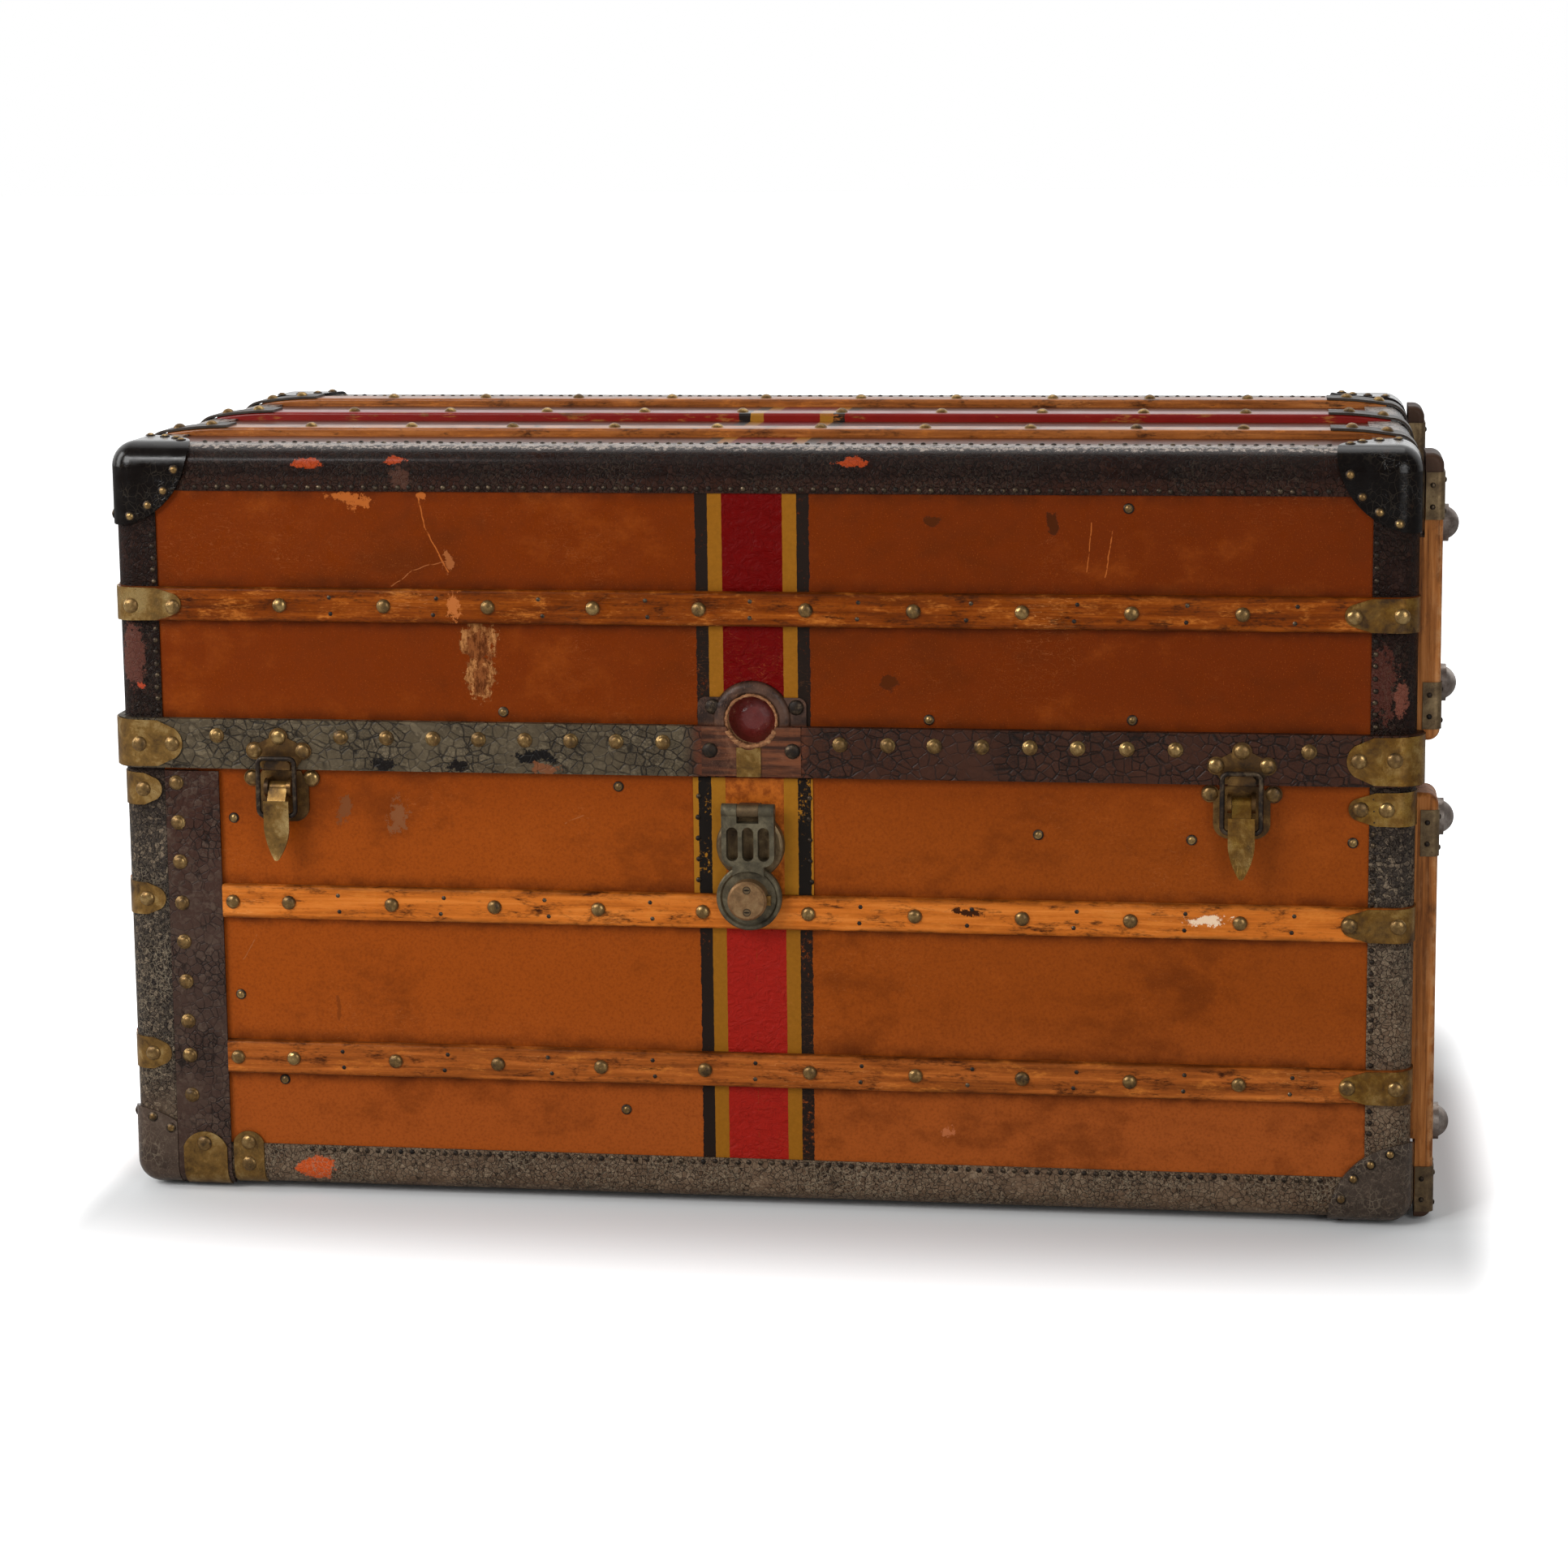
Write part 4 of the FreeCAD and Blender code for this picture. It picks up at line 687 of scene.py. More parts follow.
def ticking():
    """Cotton lining with narrow stripes."""
    f = Finish("lining_cloth", Roughness=0.9)
    run = calc("FRACT", times(f.x, 26.0))
    stripe = f.band(run, 0.42, 0.5, 0.01)
    base = f.tones((196, 180, 148), (214, 200, 170), 8.0)
    colour = mix(times(stripe, 0.75), base, (122, 96, 74))
    stain = f.stained(colour, (150, 124, 88), (222, 210, 184), 4.0, 0.4)
    threads = calc("ADD", f.waves("X", 420.0), f.waves("Z", 420.0))
    return f.done(stain, f.bump(threads, 0.25, 0.0004))


def bare_board(name, stretch):
    f = Finish(name, Roughness=0.7)
    grain = f.drawn(stretch, 3.0, 6.0, 0.6, 0.6)
    colour = ramp(grain, [(0.3, (146, 104, 62)), (0.7, (198, 158, 108))])
    stain = f.stained(colour, (110, 74, 42), (206, 170, 122), 6.0, 0.4)
    return f.done(stain, f.bump(grain, 0.3, 0.0008))


def painted_patch():
    """Canvas patch behind the hasp with the painted stripe going over it."""
    f = Finish("patch_canvas", Specular_IOR_Level=0.1)
    away = apart(f.x, STRIPE_MID)
    worn = f.noise(260.0, 5.0, 0.75)
    base = mix(worn, (136, 84, 10), (160, 108, 24))
    dark = f.band(away, 0.0368, 0.0478, 0.002)
    rubbed = smooth(calc("ADD", worn, times(f.noise(30.0), 0.6)), 1.02, 0.9)
    colour = mix(times(dark, rubbed), base, (24, 19, 15))
    centre = calc("LESS_THAN", away, 0.0248)
    tone = mix(smooth(f.noise(90.0, 5.0, 0.7), 0.4, 0.62), (132, 62, 12), (178, 94, 26))
    colour = mix(centre, colour, tone)
    f.feed("Roughness", ramp(worn, [(0.3, 0.4), (0.7, 0.6)]))
    return f.done(colour, f.bump(f.fine(420.0), 0.3, 0.0008))


def lock_skin():
    f = Finish("lock_hide", Specular_IOR_Level=0.2)
    tone = smooth(f.noise(40.0, 5.0, 0.7), 0.36, 0.64)
    plate = mix(tone, (44, 30, 24), (84, 60, 48))
    drawn = smooth(f.drawn((14.0, 60.0, 190.0), 1.0, 5.0, 0.65), 0.36, 0.64)
    strap = mix(drawn, (52, 29, 19), (108, 61, 36))
    base = mix(smooth(f.z, 0.424, 0.416), plate, strap)
    stain = f.stained(base, (36, 22, 16), (140, 96, 70), 26.0, 0.6)
    lines = f.scuffs((60, 20, 20), 8.0, 0.6)
    f.rough(0.3, 0.5, 50.0)
    ridges = f.waves("Z", 60.0, 1.0)
    normal = f.bump(f.fine(300.0), 0.3, 0.001)
    return f.done(mix(lines, stain, (150, 106, 80)), f.bump(ridges, 0.15, 0.001, normal))


def red_dome():
    f = Finish("red_dome_paint")
    base = f.tones((64, 14, 12), (118, 40, 34), 120.0, 5.0, 0.7)
    chips = smooth(f.noise(160.0, 5.0, 0.75), 0.6, 0.7, 0.0, 0.8)
    f.rough(0.2, 0.45, 80.0)
    return f.done(mix(chips, base, (146, 104, 82)), f.bump(f.noise(180.0, 4.0, 0.6), 0.4, 0.0015))


def fibre_strap():
    f = Finish("strap_fibre", Specular_IOR_Level=0.3)
    base = f.tones((38, 31, 27), (70, 59, 50), 60.0, 5.0, 0.7)
    stain = f.stained(base, (22, 17, 14), (96, 84, 72), 20.0, 0.5)
    f.rough(0.3, 0.55, 60.0)
    return f.done(stain, f.bump(f.fine(320.0), 0.35, 0.0009))


def torn_wood():
    f = Finish("torn_wood", Roughness=0.8)
    strands = f.drawn((180.0, 400.0, 400.0), 1.0, 5.0, 0.7)
    tones = [(0.3, (80, 44, 20)), (0.55, (146, 96, 56)), (0.75, (196, 150, 106))]
    return f.done(ramp(strands, tones), f.bump(strands, 0.6, 0.0012))


def browned(f, colour):
    """Sheet brass of the clamps, more deeply browned towards the right end."""
    brown = mix(1.0, colour, (0.66, 0.54, 0.26, 1.0), "MULTIPLY")
    patina = smooth(f.noise(34.0, 5.0, 0.7), 0.34, 0.6, 0.35, 1.0)
    return mix(times(smooth(f.x, -0.2, 0.3, 0.25, 1.0), patina), colour, brown)


def screwed(f, colour):
    """Two slotted screw heads let into the brown cast face of the boss."""
    still = {"Ragged": 0.0, "Sway": (0.0, 0.0, 0.0)}
    rim, face, slot = (3.6, 3.6, (40, 30, 22)), (2.9, 2.9, (112, 92, 66)), (2.6, 0.7, (20, 15, 11))
    for z in (260.1, 279.1):
        head = dict(still, Centre=spot(-2.0, -FACE - 30.0, z))
        for wide, high, shade in (rim, face, slot):
            size = Vector((wide, 4.0, high)) / 1000.0
            colour = mix(use(f.tree, BLOT, dict(head, Size=size))["Mask"], colour, shade)
    return colour


CANVAS = coated_canvas()
EDGING = edging()
VALANCE = valance_leather()
STRIP = strip_leather()
HIDE = corner_hide()
SLAT_X = slat_wood("slat_wood", (2.2, 60.0, 60.0))
SLAT_TOP = slat_wood("top_slat_wood", (2.2, 60.0, 60.0), True)
SLAT_Y = slat_wood("end_slat_wood", (60.0, 2.2, 60.0))
BATTEN = batten_wood()
BRASS = metal("clamp_brass", (74, 51, 19), (142, 107, 54), (208, 176, 118), 0.24, recolour=browned)
OLD_BRASS = metal("plate_brass", (66, 50, 34), (108, 88, 62), (150, 128, 94), 0.42, 0.7)
RIVET = metal("rivet_brass", (66, 48, 26), (128, 98, 56), (186, 154, 100), 0.24, 0.4, 140.0)
KEEPER = metal("keeper_brass", (46, 31, 15), (96, 68, 35), (158, 120, 68), 0.26, 0.6)
STEEL = metal("glide_steel", (82, 68, 60), (132, 120, 112), (176, 166, 158), 0.34, 0.5)
IRON = metal("hasp_iron", (58, 52, 40), (94, 86, 68), (134, 124, 100), 0.5, 0.5, 90.0)
DARK_NAIL = metal("nail_iron", (24, 18, 14), (52, 41, 32), (114, 97, 76), 0.36, 0.4, 160.0)
BOSS = metal("boss_brass", (92, 66, 40), (142, 108, 72), (172, 140, 100), 0.42, 0.6, 110.0, screwed)
TORN = torn_wood()
LINING = ticking()
BOARD = bare_board("board_wood", (2.0, 30.0, 30.0))
END_BOARD = bare_board("end_board_wood", (30.0, 2.0, 30.0))
PATCH = painted_patch()
LOCK_SKIN = lock_skin()
RED_DOME = red_dome()
FIBRE = fibre_strap()

BY_SLOT = {
    "board": BOARD, "coated_canvas": CANVAS, "lining": LINING, "binding": EDGING, "cap": HIDE,
    "slat": SLAT_X, "batten": BATTEN, "brass": BRASS, "old_brass": OLD_BRASS, "steel": STEEL,
    "dark_iron": IRON, "valance": VALANCE, "fibre": FIBRE, "patch": PATCH, "red_dome": RED_DOME,
    "lock_skin": LOCK_SKIN,
}
BY_NODE = {
    "latch_bail_left": DARK_NAIL, "latch_bail_right": DARK_NAIL, "lock_boss": BOSS,
    "lid_top_slats": SLAT_TOP, "lid_top_rivets": RIVET, "flap_end_slats": SLAT_Y,
    "flap_end_panel": END_BOARD, "flap_seam_strip": STRIP, "latch_bases": KEEPER, "latch_keepers": KEEPER,
}
for part in frame["record"]["subparts"]:
    finish = BY_NODE.get(part["node"], BY_SLOT[part["material_slot"]])
    mesh = nodes[part["node"]].data
    mesh.materials.clear()
    mesh.materials.append(finish)


# Heads of rivets, nails and screws
WELD = 0.00002


def turned(outline, steps, split=None):
    """Mesh of a turned head from (radius, height) points in millimetres; faces inside split take slot 1."""
    bm = bmesh.new()
    ring = [bm.verts.new((r / 1000.0, 0.0, h / 1000.0)) for r, h in outline]
    edges = [bm.edges.new(pair) for pair in zip(ring, ring[1:])]
    bmesh.ops.spin(
        bm, geom=ring + edges, cent=(0, 0, 0), axis=(0, 0, 1), angle=math.tau, steps=steps, use_merge=True
    )
    bmesh.ops.remove_doubles(bm, verts=bm.verts, dist=WELD)
    bmesh.ops.recalc_face_normals(bm, faces=bm.faces)
    for face in bm.faces:
        face.smooth = True
        if split is not None and face.calc_center_median().xy.length * 1000.0 < split:
            face.material_index = 1
    mesh = bpy.data.meshes.new("turned_head")
    bm.to_mesh(mesh)
    bm.free()
    return mesh


SLAT_HEAD = turned([(6.3, 0.0), (6.1, 1.2), (5.0, 2.4), (2.9, 3.3), (0.0, 3.5)], 12)
BAND_HEAD = turned([(6.6, 0.0), (6.4, 0.8), (5.5, 1.0), (4.9, 2.2), (2.8, 3.2), (0.0, 3.5)], 12)
CAP_HEAD = turned([(4.4, 0.0), (4.2, 0.8), (3.0, 1.0), (2.7, 1.6), (1.6, 2.1), (0.0, 2.3)], 12, 3.0)
CLAMP_HEAD = turned([(6.7, 0.0), (6.4, 0.8), (5.0, 1.8), (2.8, 2.5), (0.0, 2.7)], 12)
NAIL_HEAD = turned([(2.4, 0.0), (1.9, 0.9), (0.0, 1.4)], 7)
PANEL_HEAD = turned([(4.6, 0.0), (4.4, 0.9), (3.2, 1.3), (2.7, 0.9), (2.2, 1.5), (0.0, 1.9)], 12, 2.9)
TACK_HEAD = turned([(2.0, 0.0), (1.4, 0.6), (0.0, 0.8)], 6)


def add_piece(name, bm, body, slot, finishes):
    """A finished mesh becomes a piece, with its finishes, that rides on a body. The slot is not used."""
    mesh = bpy.data.meshes.new(name)
    bm.to_mesh(mesh)
    bm.free()
    for finish in finishes:
        mesh.materials.append(finish)
    piece = bpy.data.objects.new(name, mesh)
    bpy.context.collection.objects.link(piece)
    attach(piece, body)


def heads(name, body, look, head, places):
    """One piece of many heads; look is its slot, which is not used, and its finishes; a place is a point
    and the way to face.
    """
    bm = bmesh.new()
    for point, facing in places:
        copy = head.copy()
        turn = Vector(facing).to_track_quat("Z", "Y").to_matrix().to_4x4()
        copy.transform(Matrix.Translation(spot(*point)) @ turn)
        bm.from_mesh(copy)
        bpy.data.meshes.remove(copy)
    add_piece(name, bm, body, *look)


FORWARD, BACKWARD = (0, -1, 0), (0, 1, 0)
RIGHT, LEFT = (1, 0, 0), (-1, 0, 0)
UP, DOWN = (0, 0, 1), (0, 0, -1)
SIDES = (-1, 1)


def on_front(points, out=0.0):
    """Places of heads on the front, at a distance out from the canvas."""
    return [((x, -FACE - out, z), FORWARD) for x, z in points]


def both_faces(points, out):
    """The same heads on the front and on the hidden back."""
    return on_front(points, out) + [((x, FACE + out, z), BACKWARD) for x, z in points]


BRIGHT, DARK = ("brass", [RIVET]), ("dark_iron", [DARK_NAIL])
TWO_TONE = ("dark_iron", [DARK_NAIL, RIVET])
jitter = random.Random(7)
SLAT_X_PLACES = [2.0 + side * x for side in SIDES for x in (45, 135, 225, 315, 405.5)]
lid_slat_heads = both_faces([(x, LID_SLAT) for x in SLAT_X_PLACES], SLAT)
heads("lid_slat_rivets", "lid", BRIGHT, SLAT_HEAD, lid_slat_heads)
body_slat_heads = both_faces([(x, z) for z in SLAT_LEVELS for x in SLAT_X_PLACES + [-453.0]], SLAT)
heads("body_slat_rivets", "body", BRIGHT, SLAT_HEAD, body_slat_heads)

BAND_PLACES = [75, 115, 154, 193.5, 233.5, 273, 313.5, 353.5, 462.5]
band = on_front([(side * x, 400.0) for side in SIDES for x in BAND_PLACES], SLAT)
heads("valance_rivets", "lid", BRIGHT, BAND_HEAD, band)

STRIP_LEVELS = (357.7, 322.8, 288.2, 251.8, 217.5, 182.2, 146.8, 116.3, 80.8)
strip = on_front([(-501.0 + index * 0.5, z) for index, z in enumerate(STRIP_LEVELS)], 4.0)
heads("seam_strip_rivets", "end_flap", BRIGHT, BAND_HEAD, strip)

LID_LOOSE = ((314, 599), (-213, 422.7), (149, 421), (317.6, 423))
heads("lid_panel_rivets", "lid", TWO_TONE, PANEL_HEAD, on_front(LID_LOOSE))
BODY_LOOSE = (
    (-115, 360), (240, 325), (367, 323), (499, 323), (-452, 327), (-451, 171), (-414, 96), (-113, 78),
)
heads("body_panel_rivets", "body", TWO_TONE, PANEL_HEAD, on_front(BODY_LOOSE))

# edging nails: INNER is their distance from the edge, CLEAR the distance of a row's end from a corner
INNER = 34.5
CLEAR = 74.0


def nail_row(start, end, facing, pitch=9.75):
    a, b = Vector(start), Vector(end)
    count = max(1, int((b - a).length / pitch))
    wander = jitter.uniform
    return [
        (a.lerp(b, index / count) + Vector((wander(-0.5, 0.5), 0.0, wander(-0.5, 0.5))), facing)
        for index in range(count + 1)
    ]


def face_nails(y, facing, z_low, z_high, level, x_low=-HALF_X + INNER, uprights=SIDES):
    """Nails round the edging of a long face: one level row and its upright rows."""
    rows = nail_row((x_low + CLEAR - INNER, y, level), (HALF_X - CLEAR, y, level), facing)
    for side in uprights:
        x = side * (HALF_X - INNER)
        rows += nail_row((x, y, z_low), (x, y, z_high), facing)
    return rows


lid_nails = face_nails(-HALF_Y, FORWARD, 420.0, 572.0, HEIGHT - INNER)
lid_nails += face_nails(HALF_Y, BACKWARD, 384.0, 572.0, HEIGHT - INNER)
for side in SIDES:
    y = side * (HALF_Y - INNER)
    lid_nails += nail_row((-HALF_X + CLEAR, y, HEIGHT), (HALF_X - CLEAR, y, HEIGHT), UP)
for x, facing in ((-HALF_X, LEFT), (HALF_X, RIGHT)):
    lid_nails += nail_row((x, -190.0, HEIGHT - INNER), (x, 190.0, HEIGHT - INNER), facing)
heads("lid_edging_nails", "lid", DARK, NAIL_HEAD, lid_nails)

body_nails = face_nails(-HALF_Y, FORWARD, 76.0, 370.0, INNER, -431.0, (1,))
body_nails += face_nails(HALF_Y, BACKWARD, 76.0, 376.0, INNER, -470.0, (1,))
body_nails += nail_row((HALF_X, -185.0, INNER), (HALF_X, 185.0, INNER), RIGHT)
for side in SIDES:
    y = side * (HALF_Y - INNER)
    body_nails += nail_row((-470.0, y, 0.0), (HALF_X - CLEAR, y, 0.0), DOWN)
heads("body_edging_nails", "body", DARK, NAIL_HEAD, body_nails)

flap_nails = nail_row((-HALF_X, -188.0, INNER), (-HALF_X, 188.0, INNER), LEFT)
for z_low, z_high in ((76.0, 98.0), (136.0, 236.0), (274.0, 332.0)):
    flap_nails += nail_row((-HALF_X + INNER, HALF_Y, z_low), (-HALF_X + INNER, HALF_Y, z_high), BACKWARD)
    for side in SIDES:
        y = side * (HALF_Y - INNER)
        flap_nails += nail_row((-HALF_X, y, z_low), (-HALF_X, y, z_high), LEFT)
heads("flap_edging_nails", "end_flap", DARK, NAIL_HEAD, flap_nails)

# corner-cap rivets: measured on the front, repeated on the other faces of each cap
CAP = 3.0
CAP_TURNS = ((57.0, 20.0), (47.0, 38.0), (33.0, 50.5), (17.0, 60.0))
FLAP_EDGE = -515.0


def cap_heads(sx, at_top):
    """Four rivets along the round edge of each face of the front and back caps at one end."""
    result = []
    for sy in SIDES:
        for along, rise in CAP_TURNS:
            z = HEIGHT - rise if at_top else rise
            x = sx * (HALF_X - along)
            result.append(((x, sy * (HALF_Y + CAP), z), (0, sy, 0)))
            if sx < 0:
                result.append(((sx * (HALF_X + CAP), sy * (HALF_Y - along), z), LEFT))
            level = HEIGHT + CAP if at_top else -CAP
            result.append(((x, sy * (HALF_Y - rise), level), UP if at_top else DOWN))
    return result


lid_cap_heads = cap_heads(-1, True) + cap_heads(1, True)
heads("lid_cap_rivets", "lid", TWO_TONE, CAP_HEAD, lid_cap_heads)
heads("body_cap_rivets", "body", TWO_TONE, CAP_HEAD, cap_heads(1, False))
flap_cap_heads = [place for place in cap_heads(-1, False) if place[0][0] < FLAP_EDGE]
heads("flap_cap_rivets", "end_flap", TWO_TONE, CAP_HEAD, flap_cap_heads)

# clamp and latch rivets: SHEET is the brass on a slat, CLAMP_OUT the outside of a clamp on the edging
SHEET = 1.2
CLAMP_OUT = 2.7
RIM_CLAMP = 351.5
LATCH_X = 408.0
lid_clamp = both_faces(((-534, 512), (-497, 511), (498, 512), (536, 513)), SLAT + SHEET)
lid_clamp += on_front(((-531, 392), (-502, 392.5), (503, 393), (532, 394)), SLAT + SHEET)
heads("lid_clamp_rivets", "lid", BRIGHT, CLAMP_HEAD, lid_clamp)
body_clamp = both_faces([(x, z) for z in SLAT_LEVELS for x in (497.0, 536.5)], SLAT + SHEET)
body_clamp += both_faces([(x, RIM_CLAMP) for x in (505.0, 526.0)], CLAMP_OUT)
body_clamp += on_front([(-448.0, 39.0), (-448.0, 20.0)], CLAMP_OUT)
heads("body_clamp_rivets", "body", BRIGHT, CLAMP_HEAD, body_clamp)
flap_clamp = both_faces([(-531.0, z) for z in SLAT_LEVELS + (RIM_CLAMP,)], CLAMP_OUT)
flap_clamp += on_front([(-487.0, 37.6)], 5.2)
heads("flap_clamp_rivets", "end_flap", BRIGHT, CLAMP_HEAD, flap_clamp)

KEEPER_HEADS = ((0, 399.6), (-21, 387.7), (21, 387.7))
latch_lid = on_front([(side * LATCH_X + dx, z) for side in SIDES for dx, z in KEEPER_HEADS], 9.0)
heads("latch_keeper_rivets", "lid", BRIGHT, CLAMP_HEAD, latch_lid)
latch_body = on_front([(side * LATCH_X + dx, 362.8) for side in SIDES for dx in (-26, 26)], 2.0)
heads("latch_base_rivets", "body", BRIGHT, CLAMP_HEAD, latch_body)

# small nail pairs between the slat rivets
tacks = []
for index in range(-5, 5):
    x = 92.0 + 90.1 * index
    tacks += [(x + jitter.uniform(-3, 3), 7.0), (x + jitter.uniform(-3, 3), -7.0)]
lid_tacks = both_faces([(x, LID_SLAT + dz) for x, dz in tacks], SLAT)
heads("lid_slat_tacks", "lid", DARK, TACK_HEAD, lid_tacks)
body_tacks = both_faces([(x, z + dz) for z in SLAT_LEVELS for x, dz in tacks if x > -450.0], SLAT)
heads("body_slat_tacks", "body", DARK, TACK_HEAD, body_tacks)

patch = [(x + jitter.uniform(-1, 1), 281.0 + 18.0 * row) for row in range(5) for x in (-46.5, 48.5)]
heads("patch_nails", "body", DARK, NAIL_HEAD, on_front(patch, SHEET))
plate_heads = on_front(((-33, 430), (37.5, 430)), 1.5)
plate_heads += on_front(((-35, 394), (35, 394)), SLAT + 1.0)
heads("escutcheon_rivets", "lid", DARK, CLAMP_HEAD, plate_heads)


# Mouldings round the lock recess
RECESS = (0.0, 419.0)


def ring_piece(name, slot, finish, outline, first, sweep, steps, rough=0.0):
    """Moulding swept round the recess from (radius, out) points, with a hand-worn unevenness."""
    bm = bmesh.new()
    start = Matrix.Rotation(first, 4, "Y")
    ring = [bm.verts.new(start @ Vector((r / 1000.0, -d / 1000.0, 0.0))) for r, d in outline]
    edges = [bm.edges.new(pair) for pair in zip(ring, ring[1:] + ring[:1])]
    face = bm.faces.new(ring)
    whole = sweep == math.tau
    if whole:
        bmesh.ops.delete(bm, geom=[face], context="FACES_ONLY")
        geom = ring + edges
    else:
        geom = ring + edges + [face]
    bmesh.ops.spin(bm, geom=geom, cent=(0, 0, 0), axis=(0, 1, 0), angle=sweep, steps=steps, use_merge=whole)
    bmesh.ops.remove_doubles(bm, verts=bm.verts, dist=WELD)
    for vert in bm.verts:
        vert.co += Vector([jitter.uniform(-1, 1) for axis in range(3)]) * rough / 1000.0
    bmesh.ops.recalc_face_normals(bm, faces=bm.faces)
    bmesh.ops.transform(bm, matrix=Matrix.Translation(spot(RECESS[0], -FACE, RECESS[1])), verts=bm.verts)
    for face in bm.faces:
        face.smooth = True
    add_piece(name, bm, "lid", slot, [finish])


RIDGE = [(22.0, 1.0), (22.8, 3.6), (25.4, 4.8), (28.6, 4.6), (31.4, 3.4), (33.4, 1.0)]
ring_piece("escutcheon_ring", "lock_skin", LOCK_SKIN, RIDGE, 0.0, math.tau, 48)
LIP = [(20.2, 2.0), (20.4, 5.4), (21.8, 6.2), (22.6, 4.4), (22.4, 1.0)]
ring_piece("recess_torn_lip", "board", TORN, LIP, 0.0, math.tau, 72, 0.45)
LOW_LIP = [(19.4, 4.0), (19.8, 8.4), (21.6, 9.4), (23.6, 8.6), (23.0, 5.0)]
ring_piece("recess_low_lip", "board", TORN, LOW_LIP, math.radians(22), math.radians(136), 48, 0.6)

# nails of the end battens' plates, on the face and on the outer edge
BATTEN_Y, BATTEN_EDGE = 215.0, 241.2
BATTEN_MID, BATTEN_OUT = HALF_X + 10.0, HALF_X + 20.2
for body, levels in (("lid", (434.5, 608.0)), ("body", (22.5, 327.5))):
    places = []
    for z in levels:
        for side in SIDES:
            for dy in (-18.0, 18.0):
                for dz in (-13.0, 13.0):
                    places.append(((BATTEN_OUT, side * BATTEN_Y + dy, z + dz), RIGHT))
            for dz in (9.0, -9.0):
                places.append(((BATTEN_MID, side * BATTEN_EDGE, z + dz), (0, side, 0)))
    heads(body + "_batten_rivets", body, DARK, NAIL_HEAD, places)


# Stage: white floor and backdrop, soft light, the photo's view
FADE_X, FADE_Y = 0.57, 0.28
FADE_WIDTH, SIDE_RATE = 0.34, 4.5


def floor_finish():
    """Pale floor; the camera sees it fade to white away from the trunk, more quickly beside it."""
    material = bpy.data.materials.new("studio_floor")
    material.use_nodes = True
    tree = material.node_tree
    tree.nodes.clear()
    seen = put(tree, "LightPath").outputs
    shade = mix(seen["Is Glossy Ray"], (0.80, 0.81, 0.815, 1.0), (0.38, 0.38, 0.38, 1.0))
    diffuse = put(tree, "BsdfDiffuse", {"Color": shade})
    off_centre = put(tree, "VectorMath", {0: here(tree)}, operation="ABSOLUTE").outputs[0]
    spread = put(tree, "SeparateXYZ", {0: off_centre}).outputs
    beside = calc("MAXIMUM", times(calc("SUBTRACT", spread[0], FADE_X), SIDE_RATE), 0.0)
    before = calc("MAXIMUM", calc("SUBTRACT", spread[1], FADE_Y), 0.0)
    aside = measure("LENGTH", put(tree, "CombineXYZ", {0: beside, 1: before}).outputs[0])
    strength = times(seen["Is Camera Ray"], smooth(aside, 0.0, FADE_WIDTH))
    glow = put(tree, "Emission", {"Color": (1.0, 1.0, 1.0, 1.0), "Strength": strength})
    both = put(tree, "AddShader", {0: diffuse.outputs[0], 1: glow.outputs[0]})
    put(tree, "OutputMaterial", {"Surface": both.outputs[0]})
    return material


bm = bmesh.new()
bmesh.ops.create_grid(bm, x_segments=1, y_segments=1, size=30.0)
floor_mesh = bpy.data.meshes.new("floor")
bm.to_mesh(floor_mesh)
bm.free()
floor_mesh.materials.append(floor_finish())
floor = bpy.data.objects.new("floor", floor_mesh)
bpy.context.collection.objects.link(floor)

world = bpy.data.worlds.new("studio")
bpy.context.scene.world = world
world.use_nodes = True
tree = world.node_tree
tree.nodes.clear()
ray = put(tree, "LightPath").outputs
facing = put(tree, "SeparateXYZ", {0: put(tree, "TexCoord").outputs["Generated"]}).outputs
behind = smooth(facing[1], -0.15, 0.5)
front = calc("SUBTRACT", 0.22, times(ray["Is Glossy Ray"], 0.1))
white = calc("MAXIMUM", ray["Is Camera Ray"], calc("MAXIMUM", behind, front))
back = put(tree, "Background", {"Color": (1, 1, 1, 1), "Strength": white})
put(tree, "OutputWorld", {"Surface": back.outputs[0]})


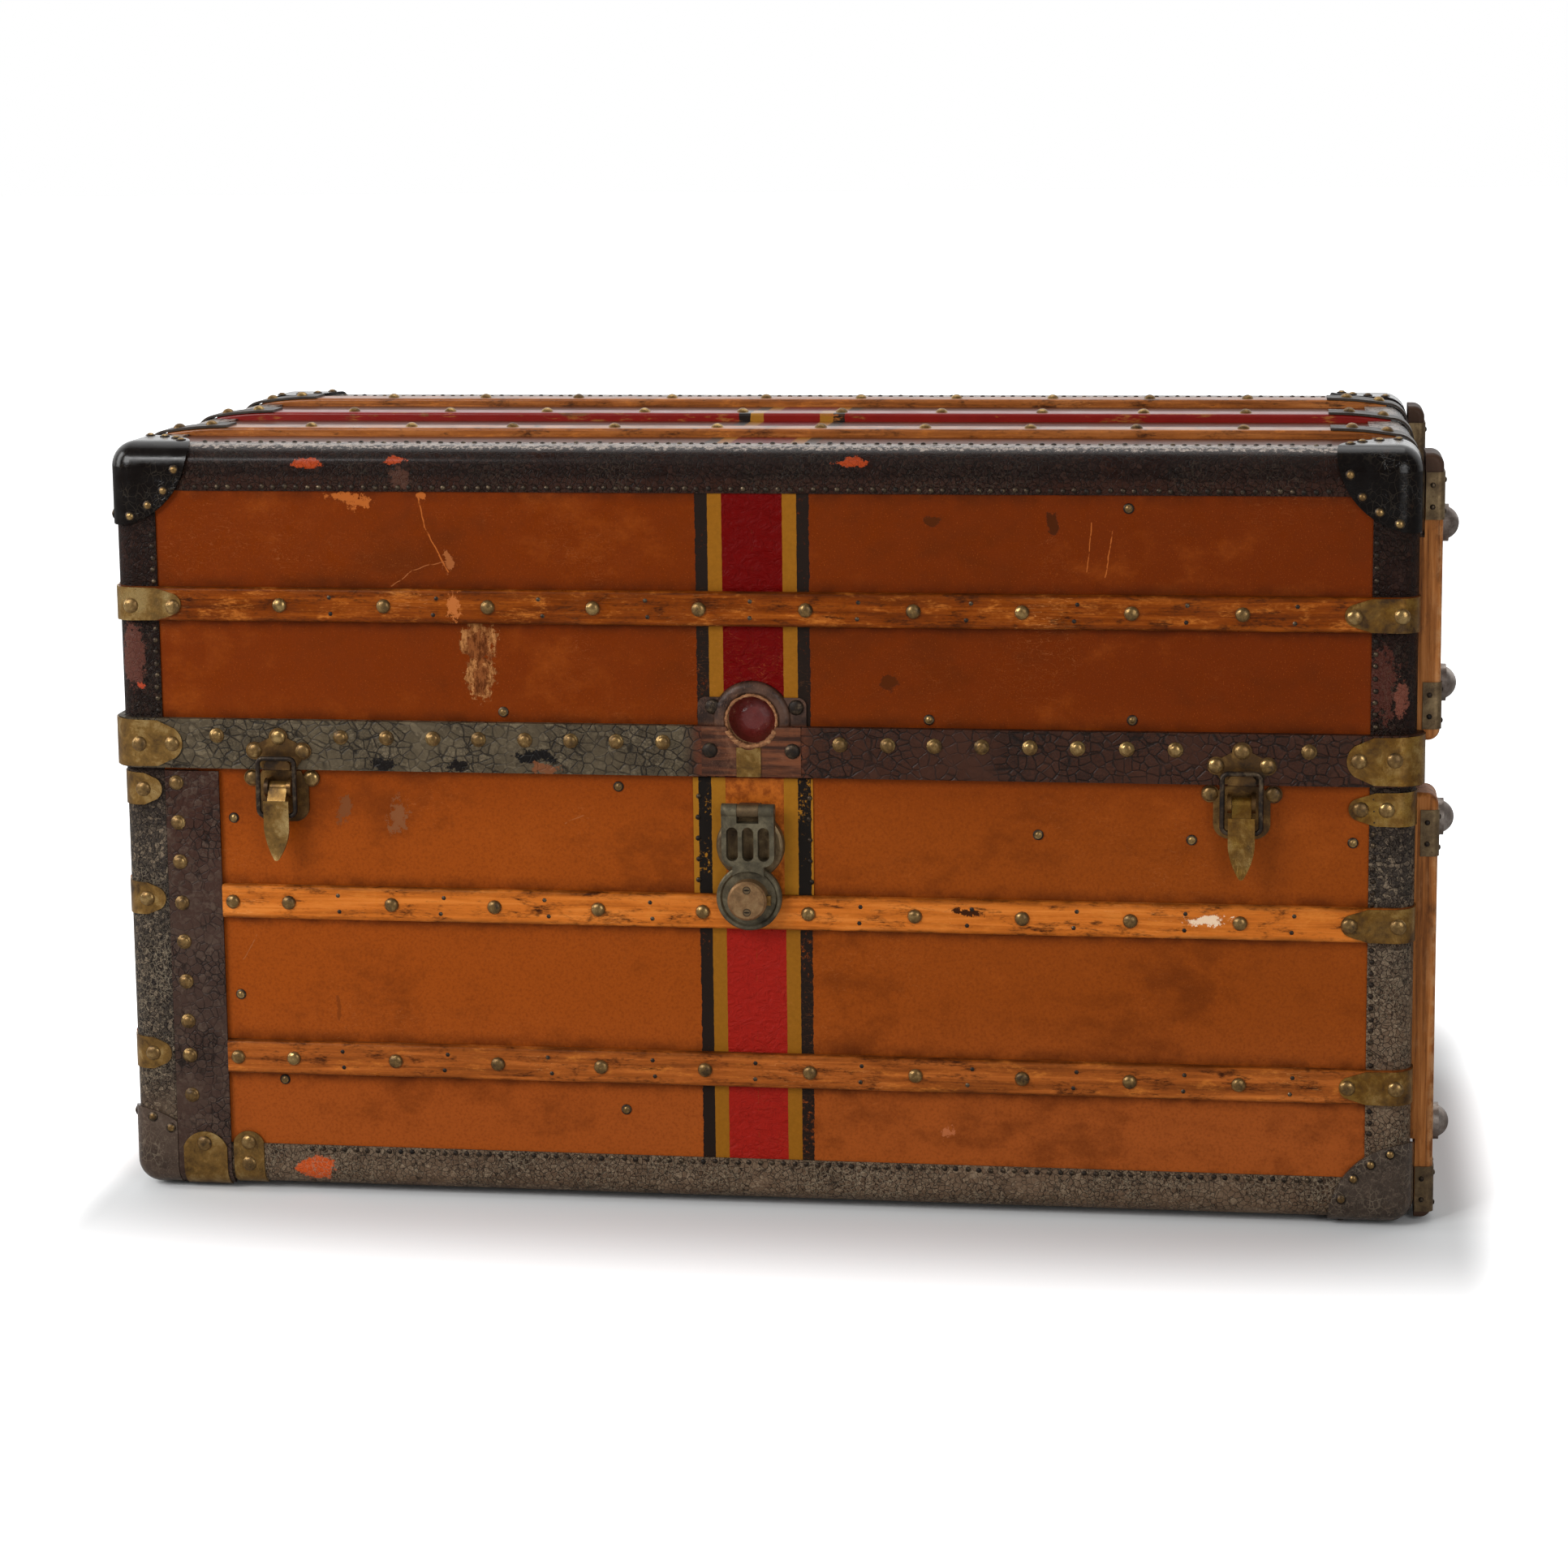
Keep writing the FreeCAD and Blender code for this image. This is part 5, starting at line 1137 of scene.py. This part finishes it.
def softbox(name, place, target, size, power):
    lamp = bpy.data.lights.new(name, "AREA")
    lamp.shape = "RECTANGLE"
    lamp.size, lamp.size_y = size
    lamp.energy = power
    holder = bpy.data.objects.new(name, lamp)
    holder.location = place
    holder.rotation_euler = (Vector(target) - Vector(place)).to_track_quat("-Z", "Y").to_euler()
    bpy.context.collection.objects.link(holder)


softbox("key_softbox", (-2.2, -2.6, 2.0), (0.0, -0.2, 0.25), (1.5, 1.5), 62.0)
softbox("fill_softbox", (1.9, -3.2, 1.2), (0.0, -0.2, 0.2), (1.4, 1.6), 26.0)
softbox("left_softbox", (-2.3, -0.5, 1.3), (-0.5, 0.0, 0.4), (0.7, 1.4), 16.0)
softbox("top_softbox", (0.0, 0.5, 2.8), (0.0, 0.0, 0.6), (2.4, 1.6), 14.0)
softbox("left_spark", (-1.3, -2.7, 2.5), (0.0, -0.2, 0.3), (0.4, 0.4), 10.0)
softbox("right_spark", (1.7, -2.6, 1.9), (0.0, -0.2, 0.3), (0.3, 0.3), 4.0)

# camera fitted to the photo: turned about the upright, tilted down and rolled, focal length in its pixels
PHOTO_WIDTH, FOCAL = 1932.0, 4365.0
EYE = (439.5, -3157.2, 940.8)
yaw, pitch, roll = math.radians(8.097), math.radians(8.619), math.radians(0.617)
ry = Matrix(((math.cos(yaw), math.sin(yaw), 0), (-math.sin(yaw), math.cos(yaw), 0), (0, 0, 1)))
rx = Matrix(((1, 0, 0), (0, math.cos(pitch), -math.sin(pitch)), (0, math.sin(pitch), math.cos(pitch))))
rz = Matrix(((math.cos(roll), math.sin(roll), 0), (-math.sin(roll), math.cos(roll), 0), (0, 0, 1)))
level = Matrix(((1, 0, 0), (0, 0, -1), (0, 1, 0)))
look = rz @ rx @ level @ ry
lens = bpy.data.cameras.new("photo_camera")
lens.sensor_width = 36.0
lens.lens = FOCAL / PHOTO_WIDTH * lens.sensor_width
lens.shift_y = -0.1
lens.clip_end = 100.0
camera = bpy.data.objects.new("photo_camera", lens)
turn = Matrix((look[0], -look[1], -look[2])).transposed()
camera.matrix_world = Matrix.Translation(spot(*EYE)) @ turn.to_4x4()
bpy.context.collection.objects.link(camera)
bpy.context.scene.camera = camera
bpy.context.scene.view_settings.view_transform = "Standard"
